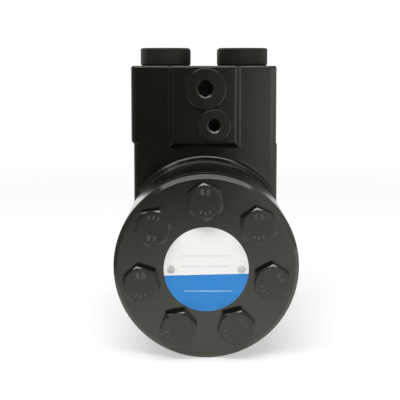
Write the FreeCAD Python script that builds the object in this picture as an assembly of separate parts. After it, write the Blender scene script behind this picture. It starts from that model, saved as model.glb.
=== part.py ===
import FreeCAD, Part
import math
import os

# Hydraulic steering unit with an orbital gear set, as separate pieces.
#
# Frame: the shaft axis lies along Y and the ports point up, along +Z. The mounting face for the
# steering column is the plane Y = 0 and faces +Y, and the unit extends from it towards -Y.
# All sizes are in millimetres and all angles in degrees.

V = FreeCAD.Vector
CENTRE = V(0, 0, 0)
ACROSS = V(1, 0, 0)
SHAFT = V(0, 1, 0)
REARWARD = V(0, -1, 0)
UP = V(0, 0, 1)

# Corner radius of a hexagon for each unit of its inner radius
CORNER = 1 / math.cos(math.radians(30))

# Flange stack, from the mounting face to the outer face of the end cover
housing_length = 104.0
block_depth = 88.0
plate_thickness = 5.0
ring_width = 60.0
cover_thickness = 12.0
stack_radius = 46.25
cover_chamfer = 1.9
flange_edge = 0.4

# Housing casting
body_inset = 5.1
body_corner = 12.0
port_block_left_inset = 3.7
port_block_right_inset = 5.6
port_block_height = 44.4
step_chamfer = 1.7
port_face_height = 99.3
port_face_chamfer = 0.8
rear_corner = 3.2
front_corner = 4.0
neck_blend_length = 12.0
neck_cove = 2.5

# Raised pad on the rear face, which carries the two valve plugs
pad_centre = -0.7
pad_half_width = 18.1
pad_slope = 2.2
pad_height = 3.0
pad_foot_drop = 12.3
pad_root = 1.0

# Bolts that hold the flange stack together
bolt_count = 7
bolt_edge_distance = 12.95
bolt_turn = 0.8
bolt_radius = 5.0
bolt_hole_gap = 0.5
bolt_engagement = 17.0
bolt_thread_run_out = 2.0
bolt_end_chamfer = 0.8
head_across_flats = 16.8
head_height = 6.4
head_chamfer_rise = 0.9
head_rim_inset = 0.17
head_turns = [36.0, 8.0, 42.0, 10.0, 14.0, 28.0, 36.0]
pin_bolt_number = 3

# Column mounting holes in the mounting face
mount_circle_diameter = 82.5
mount_count = 4
mount_first = 45.0
mount_hole_radius = 5.0
mount_hole_depth = 17.0

# Orbital gear set
gear_offset = 3.5
lobe_radius = 9.0
lobe_gap = 0.03
root_gap = 0.1
root_fillet = 1.2
rotor_side_gap = 0.02
rotor_arcs_per_lobe = 12
rotor_crowding = 0.8

# Rotary valve: sleeve and spool
sleeve_radius = 19.0
spool_radius = 14.5
neck_radius = 13.0
running_gap = 0.03
end_play = 0.05
spool_bore_radius = 10.5
nose_recess = 1.5
spool_swing = 10.0

# Splined input in the spool's nose
input_teeth = 12
input_minor_radius = 8.85
input_major_radius = 10.4
input_tooth_space = 2.5
input_depth = 19.0

# Cross pin and leaf springs
pin_radius = 4.0
pin_depth = 44.0
pin_end_gap = 0.1
spring_width = 10.0
spring_depth = 29.0
spring_slot_height = 6.4
leaf_thickness = 0.6
leaf_gap = 0.02
spring_ring_thickness = 0.8
spring_ring_overhang = 1.0

# Drive link between the cross pin and the rotor
link_shaft_radius = 6.5
link_fork_radius = 9.0
link_fork_front = 6.0
link_fork_length = 17.0
link_slot_gap = 0.05
link_slot_relief = 0.8
link_gear_inset = 9.0
link_gear_length = 12.0
link_nose = 2.0
link_taper_length = 4.0
link_tooth_count = 12
link_tooth_width = 3.0
link_root_radius = 10.1
link_tip_radius = 12.2
link_crown = 0.34
spline_gap = 0.1
rotor_bore_radius = 10.5
spacer_gap = 0.1
spacer_play = 0.25
link_room_gap = 1.0

# Thrust bearing behind the sleeve's front end
race_thickness = 1.2
needle_radius = 1.25
needle_length = 4.0
needle_count = 12
needle_gap = 0.03
cage_thickness = 1.6
cage_gap = 0.3
bearing_bore_radius = 13.6
bearing_shoulder = 3.0

# Seals round the spool's neck
seal_pocket_radius = 18.0
dust_seal_recess = 1.0
dust_seal_width = 3.0
shaft_seal_width = 6.0
seal_lip_gap = 0.05
seal_lip_width = 1.0
seal_web = 1.6

# Face seals between the flanges
face_seal_inset = 4.25
face_seal_section = 0.95
face_groove_half_width = 1.3

# Valve channels
groove_depth = 3.0
groove_width = 4.0
first_groove_depth = 54.0
groove_pitch = 8.0
channel_radius = 3.0
channel_reach = 1.5
pocket_circle_radius = 21.0
pocket_radius = 3.0
pocket_depth = 8.0
slot_half_width = 2.5
slot_end_inset = 3.8
plate_bore_radius = 12.2
commutator_inset = 6.0
commutator_windows = 12
cutter_reach = 1.0
sleeve_window = 2.8
sleeve_row_windows = 6
spool_groove_width = 3.0
spool_groove_depth = 1.2

# Ports on the top face and their transport plugs
port_centre = -0.75
port_spacing = 45.4
port_rows = 40.0
port_radius = 10.48
port_depth = 15.0
port_chamfer = 1.0
plug_head_radius = 14.55
plug_head_height = 10.3
plug_foot_chamfer = 1.2
plug_foot_inset = 0.6
plug_top_edge = 0.7
plug_thread_gap = 0.1
plug_thread_length = 10.0
plug_recess_radius = 9.0
plug_recess_depth = 1.2
plug_key = 12.0
plug_key_depth = 11.0

# Pressure relief valve in the upper bore of the pad
relief_drop = 13.05
relief_across = 0.0
relief_thread_radius = 9.0
relief_thread_length = 14.0
relief_collar_radius = 11.8
relief_key = 8.0
relief_bore_radius = 6.5
relief_valve_length = 21.0
relief_seat_length = 5.0
relief_seat_hole = 2.5
relief_inlet_length = 6.0
poppet_radius = 4.0
poppet_length = 5.0
poppet_tip_radius = 1.2
poppet_spigot_radius = 2.9
poppet_spigot_length = 2.5
relief_screw_length = 7.0
relief_screw_space = 3.0
relief_screw_key = 5.0
relief_spring_radius = 4.1
relief_wire_radius = 0.7
relief_coils = 4.5

# Inlet check valve in the lower bore of the pad
inlet_drop = 20.85
inlet_across = 5.0
inlet_thread_radius = 7.0
inlet_thread_length = 12.0
inlet_collar_radius = 9.45
inlet_key = 6.0
inlet_bore_radius = 5.5
inlet_valve_length = 23.0
inlet_seat_length = 4.0
inlet_seat_hole = 2.8
inlet_spring_radius = 2.6
inlet_wire_radius = 0.45
inlet_coils = 4.0
inlet_entry_length = 6.0
inlet_outlet_length = 14.0

# Shared valve and plug sizes
thread_gap = 0.03
collar_height = 1.6
collar_chamfer = 0.4
key_depth = 6.0
key_chamfer = 1.2
key_turn = 30.0
thread_run_out = 1.0
ball_radius = 4.0
ball_lift = 1.5
seat_gap = 0.02

# Emergency check ball in front of the pin bolt
ball_seat_inset = 34.0
ball_seat_length = 6.0
ball_seat_hole = 2.6
ball_passage_length = 5.0
bolt_pin_radius = 2.0

# Name plate on the end cover
plate_bolt_gap = 2.45
name_plate_thickness = 0.4
plate_drop = 1.0
rivet_edge_distance = 3.65
rivet_head_radius = 1.95
rivet_head_height = 0.7
rivet_radius = 1.2
rivet_length = 6.0

# Stations along the shaft axis
seam = -housing_length
ring_front = seam - plate_thickness
ring_rear = ring_front - ring_width
cover_face = ring_rear - cover_thickness
block_rear = -block_depth
pad_face = block_rear - pad_height
bearing_front = -(dust_seal_recess + dust_seal_width + shaft_seal_width + bearing_shoulder)
bearing_rear = bearing_front - 2 * race_thickness - 2 * needle_radius - 2 * needle_gap
valve_front = bearing_rear - end_play
valve_rear = seam + end_play

# Sizes that follow from the driving ones
body_half_width = stack_radius - body_inset
port_block_left = stack_radius - port_block_left_inset
port_block_right = stack_radius - port_block_right_inset
port_block_step = port_face_height - port_block_height
relief_height = port_face_height - relief_drop
inlet_height = relief_height - inlet_drop
pad_foot = inlet_height - pad_foot_drop
bolt_circle_radius = stack_radius - bolt_edge_distance
face_seal_radius = stack_radius - face_seal_inset
slot_outer = bolt_circle_radius - slot_end_inset
plate_radius = bolt_circle_radius - CORNER * head_across_flats / 2 - plate_bolt_gap
rivet_spacing = 2 * (plate_radius - rivet_edge_distance)
bore_radius = sleeve_radius + running_gap
root_radius = bolt_circle_radius + gear_offset - lobe_radius + gear_offset + root_gap
first_angle = 90.0 + bolt_turn
rotor_lobes = bolt_count - 1
pivot = V(0, -pin_depth, 0)
link_gear_depth = -ring_front + link_gear_inset
link_arm = link_gear_depth - pin_depth
link_tilt = math.degrees(math.asin(gear_offset / link_arm))
left_groove = first_groove_depth
tank_groove = left_groove + groove_pitch
pressure_groove = tank_groove + groove_pitch
right_groove = pressure_groove + groove_pitch
groove_depths = [tank_groove, left_groove, pressure_groove, right_groove]
row_turn = 360.0 / sleeve_row_windows / len(groove_depths)
commutator_depth = housing_length - commutator_inset
ball_seat_front = housing_length - ball_seat_inset
relief_screw_front = -pad_face - relief_thread_length - relief_screw_space - relief_screw_length
relief_seat_front = relief_screw_front - relief_valve_length
relief_inlet_depth = relief_seat_front - relief_inlet_length
inlet_seat_front = -pad_face - inlet_thread_length - inlet_valve_length
inlet_entry_depth = inlet_seat_front - inlet_entry_length
inlet_outlet_depth = inlet_seat_front + inlet_outlet_length


def polar(radius, angle, along=0.0):
    """Point at a radius and an angle round the shaft, counted from +X towards +Z."""
    turn = math.radians(angle)
    return V(radius * math.cos(turn), along, radius * math.sin(turn))


def around(shape, angle, centre=CENTRE):
    """Copy of a shape turned about the shaft direction, from +X towards +Z."""
    copy = shape.copy()
    copy.rotate(centre, REARWARD, angle)
    return copy


def pattern(shape, count, first=0.0, centre=CENTRE):
    """Copies of a shape spread evenly round a centre."""
    return [around(shape, first + k * 360.0 / count, centre) for k in range(count)]


def bolt_angles():
    """Angles of the cover bolts, the first one at the top."""
    return [first_angle + k * 360.0 / bolt_count for k in range(bolt_count)]


def rod(radius, start, end):
    """Round bar from one point to another."""
    return Part.makeCylinder(radius, start.distanceToPoint(end), start, end - start)


def disc(radius, front, rear, x=0.0, z=0.0):
    """Round bar parallel to the shaft between two stations."""
    return rod(radius, V(x, front, z), V(x, rear, z))


def collar(outer, inner, front, rear, x=0.0, z=0.0):
    """Plain ring parallel to the shaft between two stations."""
    return disc(outer, front, rear, x, z).cut(disc(inner, front, rear, x, z))


def turned(outline, start, direction):
    """Solid of revolution of (radius, distance) points, about an axis from a start point."""
    points = [V(radius, 0, distance) for radius, distance in outline]
    face = Part.Face(Part.makePolygon(points + points[:1]))
    solid = face.revolve(CENTRE, UP, 360)
    solid.Placement = FreeCAD.Placement(start, FreeCAD.Rotation(UP, direction))
    return solid


def corner_radius(across_flats):
    """Radius over the corners of a hexagon."""
    return CORNER * across_flats / 2


def hexagon(across_flats, start, direction, height, turn=0.0):
    """Hexagonal prism from a start point, with a corner at the given turn."""
    corner = corner_radius(across_flats)
    points = [V(corner * math.cos(math.radians(turn + 60 * k)),
                corner * math.sin(math.radians(turn + 60 * k)), 0) for k in range(7)]
    prism = Part.Face(Part.makePolygon(points)).extrude(V(0, 0, height))
    prism.Placement = FreeCAD.Placement(start, FreeCAD.Rotation(UP, direction))
    return prism


def box(low, high):
    """Block between two opposite corners."""
    size = high - low
    return Part.makeBox(size.x, size.y, size.z, low)


def straight_edges(shape, direction, test):
    """Straight edges along a direction whose middle passes a test."""
    found = []
    for edge in shape.Edges:
        if isinstance(edge.Curve, Part.Line):
            if abs(edge.Curve.Direction.dot(direction)) > 0.999 and test(edge.CenterOfMass):
                found.append(edge)
    return found


def close_to(value, wanted):
    """True when two lengths agree to a hundredth of a millimetre."""
    return abs(value - wanted) < 0.01


def radial_slots(count, width, inner, outer, front, rear, first=0.0, centre=CENTRE):
    """Straight-sided slots that point away from the shaft, such as spline spaces."""
    low = V(inner, rear, -width / 2) + centre
    high = V(outer, front, width / 2) + centre
    return pattern(box(low, high), count, first, centre)


def helical_spring(radius, wire_radius, length, coils, start, direction):
    """Coil spring whose wire stays between the start point and the far end."""
    rise = length - 2 * wire_radius
    path = Part.makeHelix(rise / coils, rise, radius)
    section = Part.makePolygon([V(radius, 0, 0) + polar(wire_radius, 60 * k) for k in range(7)])
    spring = path.makePipeShell([section], True, True)
    spring.translate(V(0, 0, wire_radius))
    spring.Placement = FreeCAD.Placement(start, FreeCAD.Rotation(UP, direction)).multiply(spring.Placement)
    return spring


# Valve axes and ports
def relief_axis(depth):
    """Point on the relief valve's axis at a depth from the mounting face."""
    return V(relief_across, -depth, relief_height)


def inlet_axis(depth):
    """Point on the inlet valve's axis at a depth from the mounting face."""
    return V(inlet_across, -depth, inlet_height)


def emergency_axis(depth):
    """Point on the axis of the emergency ball and its bolt at a depth from the mounting face."""
    return polar(bolt_circle_radius, bolt_angles()[pin_bolt_number], -depth)


def port_point(side, row):
    """Centre of a port: side -1 is left, row -1 is the pair nearer the mounting face."""
    return V(port_centre + side * port_spacing / 2,
             -block_depth / 2 - row * port_rows / 2, port_face_height)


ports = {
    "pressure": port_point(1, -1),
    "tank": port_point(-1, 1),
    "left": port_point(-1, -1),
    "right": port_point(1, 1),
}


def port_foot(name):
    """Start of a port's drillings, in its bore just above the flat bottom."""
    return ports[name] - UP * (port_depth - channel_radius)


# Housing
def chamfered_top(shape):
    """Shape with a chamfer round its top face."""
    top = [face for face in shape.Faces if close_to(face.BoundBox.ZMin, port_face_height)]
    return shape.makeChamfer(port_face_chamfer, top[0].Edges)


def rounded_block(left, right, bottom, top):
    """Block over the whole depth of the casting with rounded vertical corners."""
    block = box(V(-left, block_rear, bottom), V(right, 0, top))
    for corner, station in ((rear_corner, block_rear), (front_corner, 0)):
        block = block.makeFillet(corner, straight_edges(
            block, UP, lambda middle: close_to(middle.y, station)))
    return block


def block_outline():
    """Lower body and port block with their rounded and chamfered edges."""
    body = box(V(-body_half_width, block_rear, -body_half_width),
               V(body_half_width, 0, port_block_step))
    body = body.makeFillet(body_corner, straight_edges(
        body, SHAFT, lambda middle: close_to(middle.z, -body_half_width)))
    body = body.common(rounded_block(body_half_width, body_half_width,
                                     -body_half_width, port_block_step))
    block = chamfered_top(rounded_block(port_block_left, port_block_right,
                                        port_block_step, port_face_height))
    return body.fuse(block.cut(step_wedge()))


def step_wedge():
    """Wedge that takes the lower left edge off the port block."""
    low = port_block_step
    corners = [V(-port_block_left, 0, low), V(-port_block_left + step_chamfer, 0, low),
               V(-port_block_left, 0, low + step_chamfer)]
    return Part.Face(Part.makePolygon(corners + corners[:1])).extrude(V(0, block_rear, 0))


def neck():
    """Round neck, its blend into the block and the cove at its root."""
    blend_front = block_rear + neck_blend_length
    length = blend_front - seam
    cove_radius = stack_radius + neck_cove
    barrel = turned([(0, 0), (body_half_width, 0), (stack_radius, neck_blend_length),
                     (stack_radius, length - flange_edge), (stack_radius - flange_edge, length),
                     (0, length)], V(0, blend_front, 0), REARWARD)
    foot = disc(cove_radius, block_rear + neck_cove, block_rear - neck_cove)
    hollow = Part.makeTorus(cove_radius, neck_cove, V(0, block_rear - neck_cove, 0), SHAFT)
    reach = box(V(-body_half_width + rear_corner, block_rear - neck_cove, 0),
                V(body_half_width - rear_corner, block_rear + neck_cove, port_face_height))
    return barrel.fuse(foot.cut(hollow).common(reach))


def rear_pad():
    """Raised pad with sloping sides and foot."""
    def outline(grow, station):
        left, right = pad_centre - pad_half_width - grow, pad_centre + pad_half_width + grow
        foot = pad_foot + pad_slope - grow
        corners = [V(left, station, foot), V(right, station, foot),
                   V(right, station, port_face_height), V(left, station, port_face_height)]
        return Part.makePolygon(corners + corners[:1])
    base = outline(pad_slope, block_rear)
    root = Part.Face(outline(pad_slope, block_rear + pad_root)).extrude(V(0, -pad_root, 0))
    return chamfered_top(Part.makeLoft([base, outline(0.0, pad_face)], True, True)).fuse(root)


def valve_bores():
    """Bores of the relief valve and the inlet valve, drilled from the pad."""
    relief = [(relief_thread_radius + thread_gap, -pad_face - relief_thread_length - thread_run_out),
              (relief_bore_radius + thread_gap, relief_seat_front),
              (relief_seat_hole, relief_inlet_depth)]
    inlet = [(inlet_thread_radius + thread_gap, -pad_face - inlet_thread_length - thread_run_out),
             (inlet_bore_radius + thread_gap, inlet_seat_front),
             (inlet_seat_hole, inlet_entry_depth)]
    bores = [rod(radius, relief_axis(-pad_face), relief_axis(depth)) for radius, depth in relief]
    return bores + [rod(radius, inlet_axis(-pad_face), inlet_axis(depth)) for radius, depth in inlet]


def channels():
    """Drillings from the ports to the valves and to the grooves round the sleeve."""
    inside = sleeve_radius - channel_radius
    relief_outlet = relief_axis(relief_screw_front - 2 * channel_radius)
    drillings = [
        rod(channel_radius, port_foot("pressure"), relief_axis(relief_inlet_depth + channel_reach)),
        rod(channel_radius, port_foot("pressure"), inlet_axis(inlet_entry_depth + channel_reach)),
        rod(channel_radius, port_foot("tank"), relief_outlet),
        rod(channel_radius, inlet_axis(inlet_outlet_depth),
            V(inlet_across, -pressure_groove, sleeve_radius)),
    ]
    for name, side, groove in (("tank", -1, tank_groove), ("left", -1, left_groove),
                               ("right", 1, right_groove)):
        drillings.append(rod(channel_radius, port_foot(name), V(side * inside, -groove, inside)))
    return drillings


def sleeve_grooves():
    """Ring grooves in the main bore, one for each port."""
    return [disc(bore_radius + groove_depth, -groove + groove_width / 2, -groove - groove_width / 2)
            for groove in groove_depths]


def bolt_holes(radius, front, rear):
    """Holes for the cover bolts between two stations."""
    return [disc(radius, front, rear, *polar(bolt_circle_radius, angle)[::2]) for angle in bolt_angles()]


def face_groove(front, rear):
    """Groove for a face seal between two stations."""
    return collar(face_seal_radius + face_groove_half_width,
                  face_seal_radius - face_groove_half_width, front, rear)


def housing():
    """Cast housing with every bore, groove and drilling."""
    casting = block_outline().fuse([neck(), rear_pad()]).removeSplitter()
    cuts = [
        disc(bore_radius, bearing_front, seam),
        disc(bearing_bore_radius + race_thickness, 0, seam),
        disc(seal_pocket_radius, 0, bearing_front + bearing_shoulder),
        face_groove(seam, seam + 2 * face_seal_section),
    ]
    cuts += sleeve_grooves() + valve_bores() + channels()
    cuts += bolt_holes(bolt_radius + thread_gap, seam, seam + bolt_engagement + bolt_thread_run_out)
    cuts += pattern(disc(pocket_radius, seam, seam + pocket_depth, pocket_circle_radius),
                    bolt_count, first_angle + 180.0 / bolt_count)
    cuts += pattern(disc(mount_hole_radius, 0, -mount_hole_depth, mount_circle_diameter / 2),
                    mount_count, mount_first)
    ball_passage = emergency_axis(ball_seat_front - ball_passage_length)
    groove_entry = polar(sleeve_radius, bolt_angles()[pin_bolt_number], -pressure_groove)
    cuts += [
        rod(bolt_radius + thread_gap, emergency_axis(housing_length), emergency_axis(ball_seat_front)),
        rod(ball_seat_hole, emergency_axis(ball_seat_front), ball_passage),
        rod(ball_seat_hole, ball_passage, groove_entry),
    ]
    for point in ports.values():
        cuts.append(turned([(0, 0), (port_radius + port_chamfer, 0), (port_radius, port_chamfer),
                            (port_radius, port_depth), (0, port_depth)], point, -UP))
    return casting.cut(cuts)


# Flange stack
def flange(front, rear):
    """Round flange between two stations, with its outer edges broken."""
    length = front - rear
    return turned([(0, 0), (stack_radius - flange_edge, 0), (stack_radius, flange_edge),
                   (stack_radius, length - flange_edge), (stack_radius - flange_edge, length),
                   (0, length)], V(0, front, 0), REARWARD)


def distributor_plate():
    """Plate with seven slots that feed the gear chambers."""
    plate = flange(seam, ring_front)
    cuts = [disc(plate_bore_radius, seam, ring_front)]
    cuts += bolt_holes(bolt_radius + bolt_hole_gap, seam, ring_front)
    middle = first_angle + 180.0 / bolt_count
    cuts += radial_slots(bolt_count, 2 * slot_half_width, pocket_circle_radius, slot_outer,
                         seam, ring_front, middle)
    cuts += pattern(disc(slot_half_width, seam, ring_front, slot_outer), bolt_count, middle)
    return plate.cut(cuts)


def gear_ring():
    """Outer gear: seven round lobes that stand into the chamber."""
    body = flange(ring_front, ring_rear).cut(disc(root_radius, ring_front, ring_rear))
    lobes = [disc(lobe_radius, ring_front, ring_rear, *polar(bolt_circle_radius, angle)[::2])
             for angle in bolt_angles()]
    body = body.fuse(lobes).removeSplitter()
    body = body.makeFillet(root_fillet, straight_edges(
        body, SHAFT, lambda middle: close_to(math.hypot(middle.x, middle.z), root_radius)))
    cuts = bolt_holes(bolt_radius + bolt_hole_gap, ring_front, ring_rear)
    cuts.append(face_groove(ring_front, ring_front - 2 * face_seal_section))
    cuts.append(face_groove(ring_rear, ring_rear + 2 * face_seal_section))
    return body.cut(cuts)


def end_cover():
    """Round cover plate with a chamfered outer edge."""
    cover = turned([(0, 0), (stack_radius - flange_edge, 0), (stack_radius, flange_edge),
                    (stack_radius, cover_thickness - cover_chamfer),
                    (stack_radius - cover_chamfer, cover_thickness), (0, cover_thickness)],
                   V(0, ring_rear, 0), REARWARD)
    cuts = bolt_holes(bolt_radius + bolt_hole_gap, ring_rear, cover_face)
    cuts += [disc(rivet_radius + thread_gap, cover_face, cover_face + rivet_length, x, z)
             for x, z in rivet_places()]
    return cover.cut(cuts)


def face_seal(station, side):
    """O-ring squeezed flat in its groove, on one side of a seam."""
    half = face_seal_section - seat_gap
    flat = half / 2
    outline = [(half, 0), (flat, half), (-flat, half), (-half, 0), (-flat, -half), (flat, -half)]
    return turned([(face_seal_radius + out, along) for out, along in outline],
                  V(0, station + side * face_seal_section, 0), SHAFT)


# Cover bolts
def hexagon_head(base, turn):
    """Bolt head with its chamfered top, standing on a base point."""
    corner = corner_radius(head_across_flats)
    rim = head_across_flats / 2 - head_rim_inset
    prism = hexagon(head_across_flats, base, REARWARD, head_height, turn)
    blank = turned([(0, 0), (corner, 0), (corner, head_height - head_chamfer_rise),
                    (rim, head_height), (0, head_height)], base, REARWARD)
    return prism.common(blank)


def cover_bolt(number):
    """One cover bolt, from the cover's face into the housing."""
    x, _, z = polar(bolt_circle_radius, bolt_angles()[number])
    end = seam + bolt_engagement
    length = end - cover_face
    shank = turned([(0, 0), (bolt_radius, 0), (bolt_radius, length - bolt_end_chamfer),
                    (bolt_radius - bolt_end_chamfer, length), (0, length)],
                   V(x, cover_face, z), SHAFT)
    return shank.fuse(hexagon_head(V(x, cover_face, z), head_turns[number])).removeSplitter()


def cover_bolts():
    """The six plain cover bolts."""
    return Part.makeCompound([cover_bolt(k) for k in range(bolt_count) if k != pin_bolt_number])


def pin_bolt():
    """Cover bolt with the pin that limits the lift of the emergency ball."""
    tip = emergency_ball_centre() + REARWARD * (ball_radius + ball_lift + seat_gap)
    return cover_bolt(pin_bolt_number).fuse(rod(bolt_pin_radius, emergency_axis(housing_length), tip))


# Gear set
def rotor_edge(turn):
    """Point of the rotor's edge, set in from the path of a lobe's centre by the lobe's radius."""
    fast = bolt_count * turn
    path = V(bolt_circle_radius * math.cos(turn) - gear_offset * math.cos(fast), 0,
             bolt_circle_radius * math.sin(turn) - gear_offset * math.sin(fast))
    along = V(-bolt_circle_radius * math.sin(turn) + bolt_count * gear_offset * math.sin(fast), 0,
              bolt_circle_radius * math.cos(turn) - bolt_count * gear_offset * math.cos(fast))
    inward = V(-along.z, 0, along.x).normalize()
    return path + inward * (lobe_radius + lobe_gap)


def rotor_centre(station=0.0):
    """Centre of the rotor at rest: pushed off the shaft axis towards the first lobe."""
    return polar(gear_offset, first_angle, station)


def rotor_outline(station):
    """Closed edge of the rotor as short arcs through true points, closer in the tight valleys."""
    steps = rotor_lobes * rotor_arcs_per_lobe * 2
    turns = [2 * math.pi * k / steps for k in range(steps + 1)]
    points = [rotor_edge(turn - rotor_crowding * math.sin(rotor_lobes * turn) / rotor_lobes)
              + V(0, station, 0) for turn in turns]
    arcs = [Part.Arc(points[k], points[k + 1], points[k + 2]).toShape() for k in range(0, steps, 2)]
    return Part.Wire(arcs)


def rotor():
    """Inner gear with six lobes and a splined bore."""
    front, rear = ring_front - rotor_side_gap, ring_rear + rotor_side_gap
    body = around(Part.Face(rotor_outline(front)).extrude(V(0, rear - front, 0)), first_angle)
    cuts = [disc(rotor_bore_radius, front, rear)]
    cuts += radial_slots(link_tooth_count, link_tooth_width, rotor_bore_radius - cutter_reach,
                         link_tip_radius + spline_gap, front, rear)
    body = body.cut(cuts)
    body.translate(rotor_centre())
    return body


def link_tooth():
    """One crowned tooth of the drive link, whose flanks are arcs."""
    half_length = link_gear_length / 2
    middle = link_tooth_width / 2 - spline_gap
    end = middle - link_crown
    corners = [V(0, half_length, end), V(0, -half_length, end),
               V(0, -half_length, -end), V(0, half_length, -end)]
    outline = Part.Wire([
        Part.Arc(corners[0], V(0, 0, middle), corners[1]).toShape(),
        Part.LineSegment(corners[1], corners[2]).toShape(),
        Part.Arc(corners[2], V(0, 0, -middle), corners[3]).toShape(),
        Part.LineSegment(corners[3], corners[0]).toShape()])
    tooth = Part.Face(outline).extrude(V(link_tip_radius, 0, 0))
    tooth.translate(V(0, -link_gear_depth, 0))
    return tooth


def barrel(middle_radius, drop, length, station):
    """Short barrel along the shaft, smaller at its ends by the drop."""
    middle = V(middle_radius, station, 0)
    front = V(middle_radius - drop, station + length / 2, 0)
    rear = V(middle_radius - drop, station - length / 2, 0)
    outline = Part.Wire([
        Part.Arc(front, middle, rear).toShape(),
        Part.LineSegment(rear, V(0, rear.y, 0)).toShape(),
        Part.LineSegment(V(0, rear.y, 0), V(0, front.y, 0)).toShape(),
        Part.LineSegment(V(0, front.y, 0), front).toShape()])
    return Part.Face(outline).revolve(CENTRE, SHAFT, 360)


def drive_link():
    """Link with a fork for the cross pin and a crowned spline for the rotor, at its tilt."""
    fork_front = pivot.y + link_fork_front
    fork_rear = fork_front - link_fork_length
    gear_front = -link_gear_depth + link_gear_length / 2
    gear_rear = -link_gear_depth - link_gear_length / 2
    fork = barrel(link_fork_radius, link_crown, link_fork_length, (fork_front + fork_rear) / 2)
    taper = turned([(0, 0), (link_fork_radius - link_crown, 0), (link_shaft_radius, link_taper_length),
                    (link_shaft_radius, fork_rear - gear_front), (0, fork_rear - gear_front)],
                   V(0, fork_rear, 0), REARWARD)
    teeth = [tooth.common(barrel(link_tip_radius, link_crown, link_gear_length, -link_gear_depth))
             for tooth in pattern(link_tooth(), link_tooth_count)]
    core = barrel(link_root_radius, link_crown, link_gear_length, -link_gear_depth)
    nose = turned([(0, 0), (link_shaft_radius, 0), (link_shaft_radius / 2, link_nose),
                   (0, link_nose)], V(0, gear_rear, 0), REARWARD)
    link = fork.fuse([taper, core, nose] + teeth)
    slot_half = pin_radius + link_slot_gap
    slot_end = pivot.y - link_slot_relief
    link = link.cut([box(V(-sleeve_radius, slot_end, -slot_half), V(sleeve_radius, 0, slot_half)),
                     rod(slot_half, V(-sleeve_radius, slot_end, 0), V(sleeve_radius, slot_end, 0))])
    link.rotate(pivot, REARWARD.cross(polar(1.0, first_angle)), link_tilt)
    return link


def link_spacer():
    """Round spacer in the rotor that keeps the link from moving rearwards."""
    nose = -link_gear_depth - link_gear_length / 2 - link_nose
    centre = rotor_centre()
    return disc(rotor_bore_radius - spacer_gap, nose - spacer_play, ring_rear + end_play,
                centre.x, centre.z)


# Rotary valve
def spring_slot(height, reach):
    """Slot for the leaf springs, straight through sleeve or spool."""
    half = spring_width / 2 + end_play
    return box(V(-reach, -spring_depth - half, -height / 2), V(reach, -spring_depth + half, height / 2))


def sleeve():
    """Outer sleeve with its holes, spring slot and ring seat."""
    body = collar(sleeve_radius, spool_radius + running_gap, valve_front, valve_rear)
    reach = 2 * sleeve_radius
    ring_half = spring_width / 2 + spring_ring_overhang + end_play
    cuts = [
        spring_slot(spring_slot_height, reach),
        rod(pin_radius + seat_gap, pivot - ACROSS * reach, pivot + ACROSS * reach),
        collar(reach, sleeve_radius - running_gap - spring_ring_thickness,
               -spring_depth + ring_half, -spring_depth - ring_half),
    ]
    rows = [(depth, sleeve_row_windows, row_turn * k) for k, depth in enumerate(groove_depths)]
    rows.append((commutator_depth, commutator_windows, 0.0))
    for depth, count, first in rows:
        cuts += radial_slots(count, sleeve_window, spool_radius - cutter_reach, reach,
                             -depth + sleeve_window / 2, -depth - sleeve_window / 2, first)
    return body.cut(cuts)


def spool():
    """Inner spool with the splined nose, the slots and the room for the drive link."""
    front = -nose_recess
    body = disc(spool_radius, valve_front, valve_rear).fuse(disc(neck_radius, front, valve_front))
    swing_hole = pin_radius + spool_radius * math.sin(math.radians(spool_swing)) + end_play
    reach = 2 * spool_radius
    link_room_front = pivot.y + link_fork_front + link_room_gap
    groove_floor = spool_radius - spool_groove_depth
    cuts = [
        disc(input_minor_radius, front, front - input_depth),
        disc(spool_bore_radius, link_room_front, valve_rear),
        spring_slot(spring_slot_height, reach),
        rod(swing_hole, pivot - ACROSS * reach, pivot + ACROSS * reach),
    ]
    cuts += radial_slots(input_teeth, input_tooth_space, input_minor_radius - cutter_reach,
                         input_major_radius, front, front - input_depth)
    cuts += radial_slots(sleeve_row_windows, spool_groove_width, groove_floor, reach,
                         -left_groove, -pressure_groove, row_turn)
    cuts += radial_slots(sleeve_row_windows, spool_groove_width, groove_floor, reach,
                         -pressure_groove, -commutator_depth, 3 * row_turn)
    return body.cut(cuts)


def cross_pin():
    """Pin through sleeve, spool and link, short enough to stay inside the main bore."""
    inside = sleeve_radius - pin_end_gap
    half = math.sqrt(inside ** 2 - pin_radius ** 2)
    return rod(pin_radius, pivot - ACROSS * half, pivot + ACROSS * half)


def leaf(half_length, outer_height, sag):
    """Leaf spring whose outer side stands at a height and sinks by a sag in the middle."""
    near, far = outer_height - leaf_thickness, outer_height
    station = -spring_depth - spring_width / 2

    def edge(height, reverse):
        ends = [V(-half_length, station, height), V(half_length, station, height)]
        if reverse:
            ends.reverse()
        if sag == 0:
            return Part.LineSegment(ends[0], ends[1]).toShape()
        return Part.Arc(ends[0], V(0, station, height - sag), ends[1]).toShape()
    outline = Part.Wire([
        edge(near, False),
        Part.LineSegment(V(half_length, station, near), V(half_length, station, far)).toShape(),
        edge(far, True),
        Part.LineSegment(V(-half_length, station, far), V(-half_length, station, near)).toShape()])
    return Part.Face(outline).extrude(V(0, spring_width, 0))


def centering_springs():
    """Two flat leaves and four bowed ones, packed in the slot of sleeve and spool."""
    top = spring_slot_height / 2 - leaf_gap
    inside = sleeve_radius - spring_ring_thickness - 2 * running_gap
    half_length = math.sqrt(inside ** 2 - top ** 2) - leaf_gap
    step = leaf_thickness + leaf_gap
    sag = top - 3 * step
    leaves = []
    for height, bow in ((top, 0), (top - step, sag), (top - 2 * step, sag)):
        upper = leaf(half_length, height, bow)
        leaves += [upper, around(upper, 180.0)]
    return Part.makeCompound(leaves)


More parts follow.
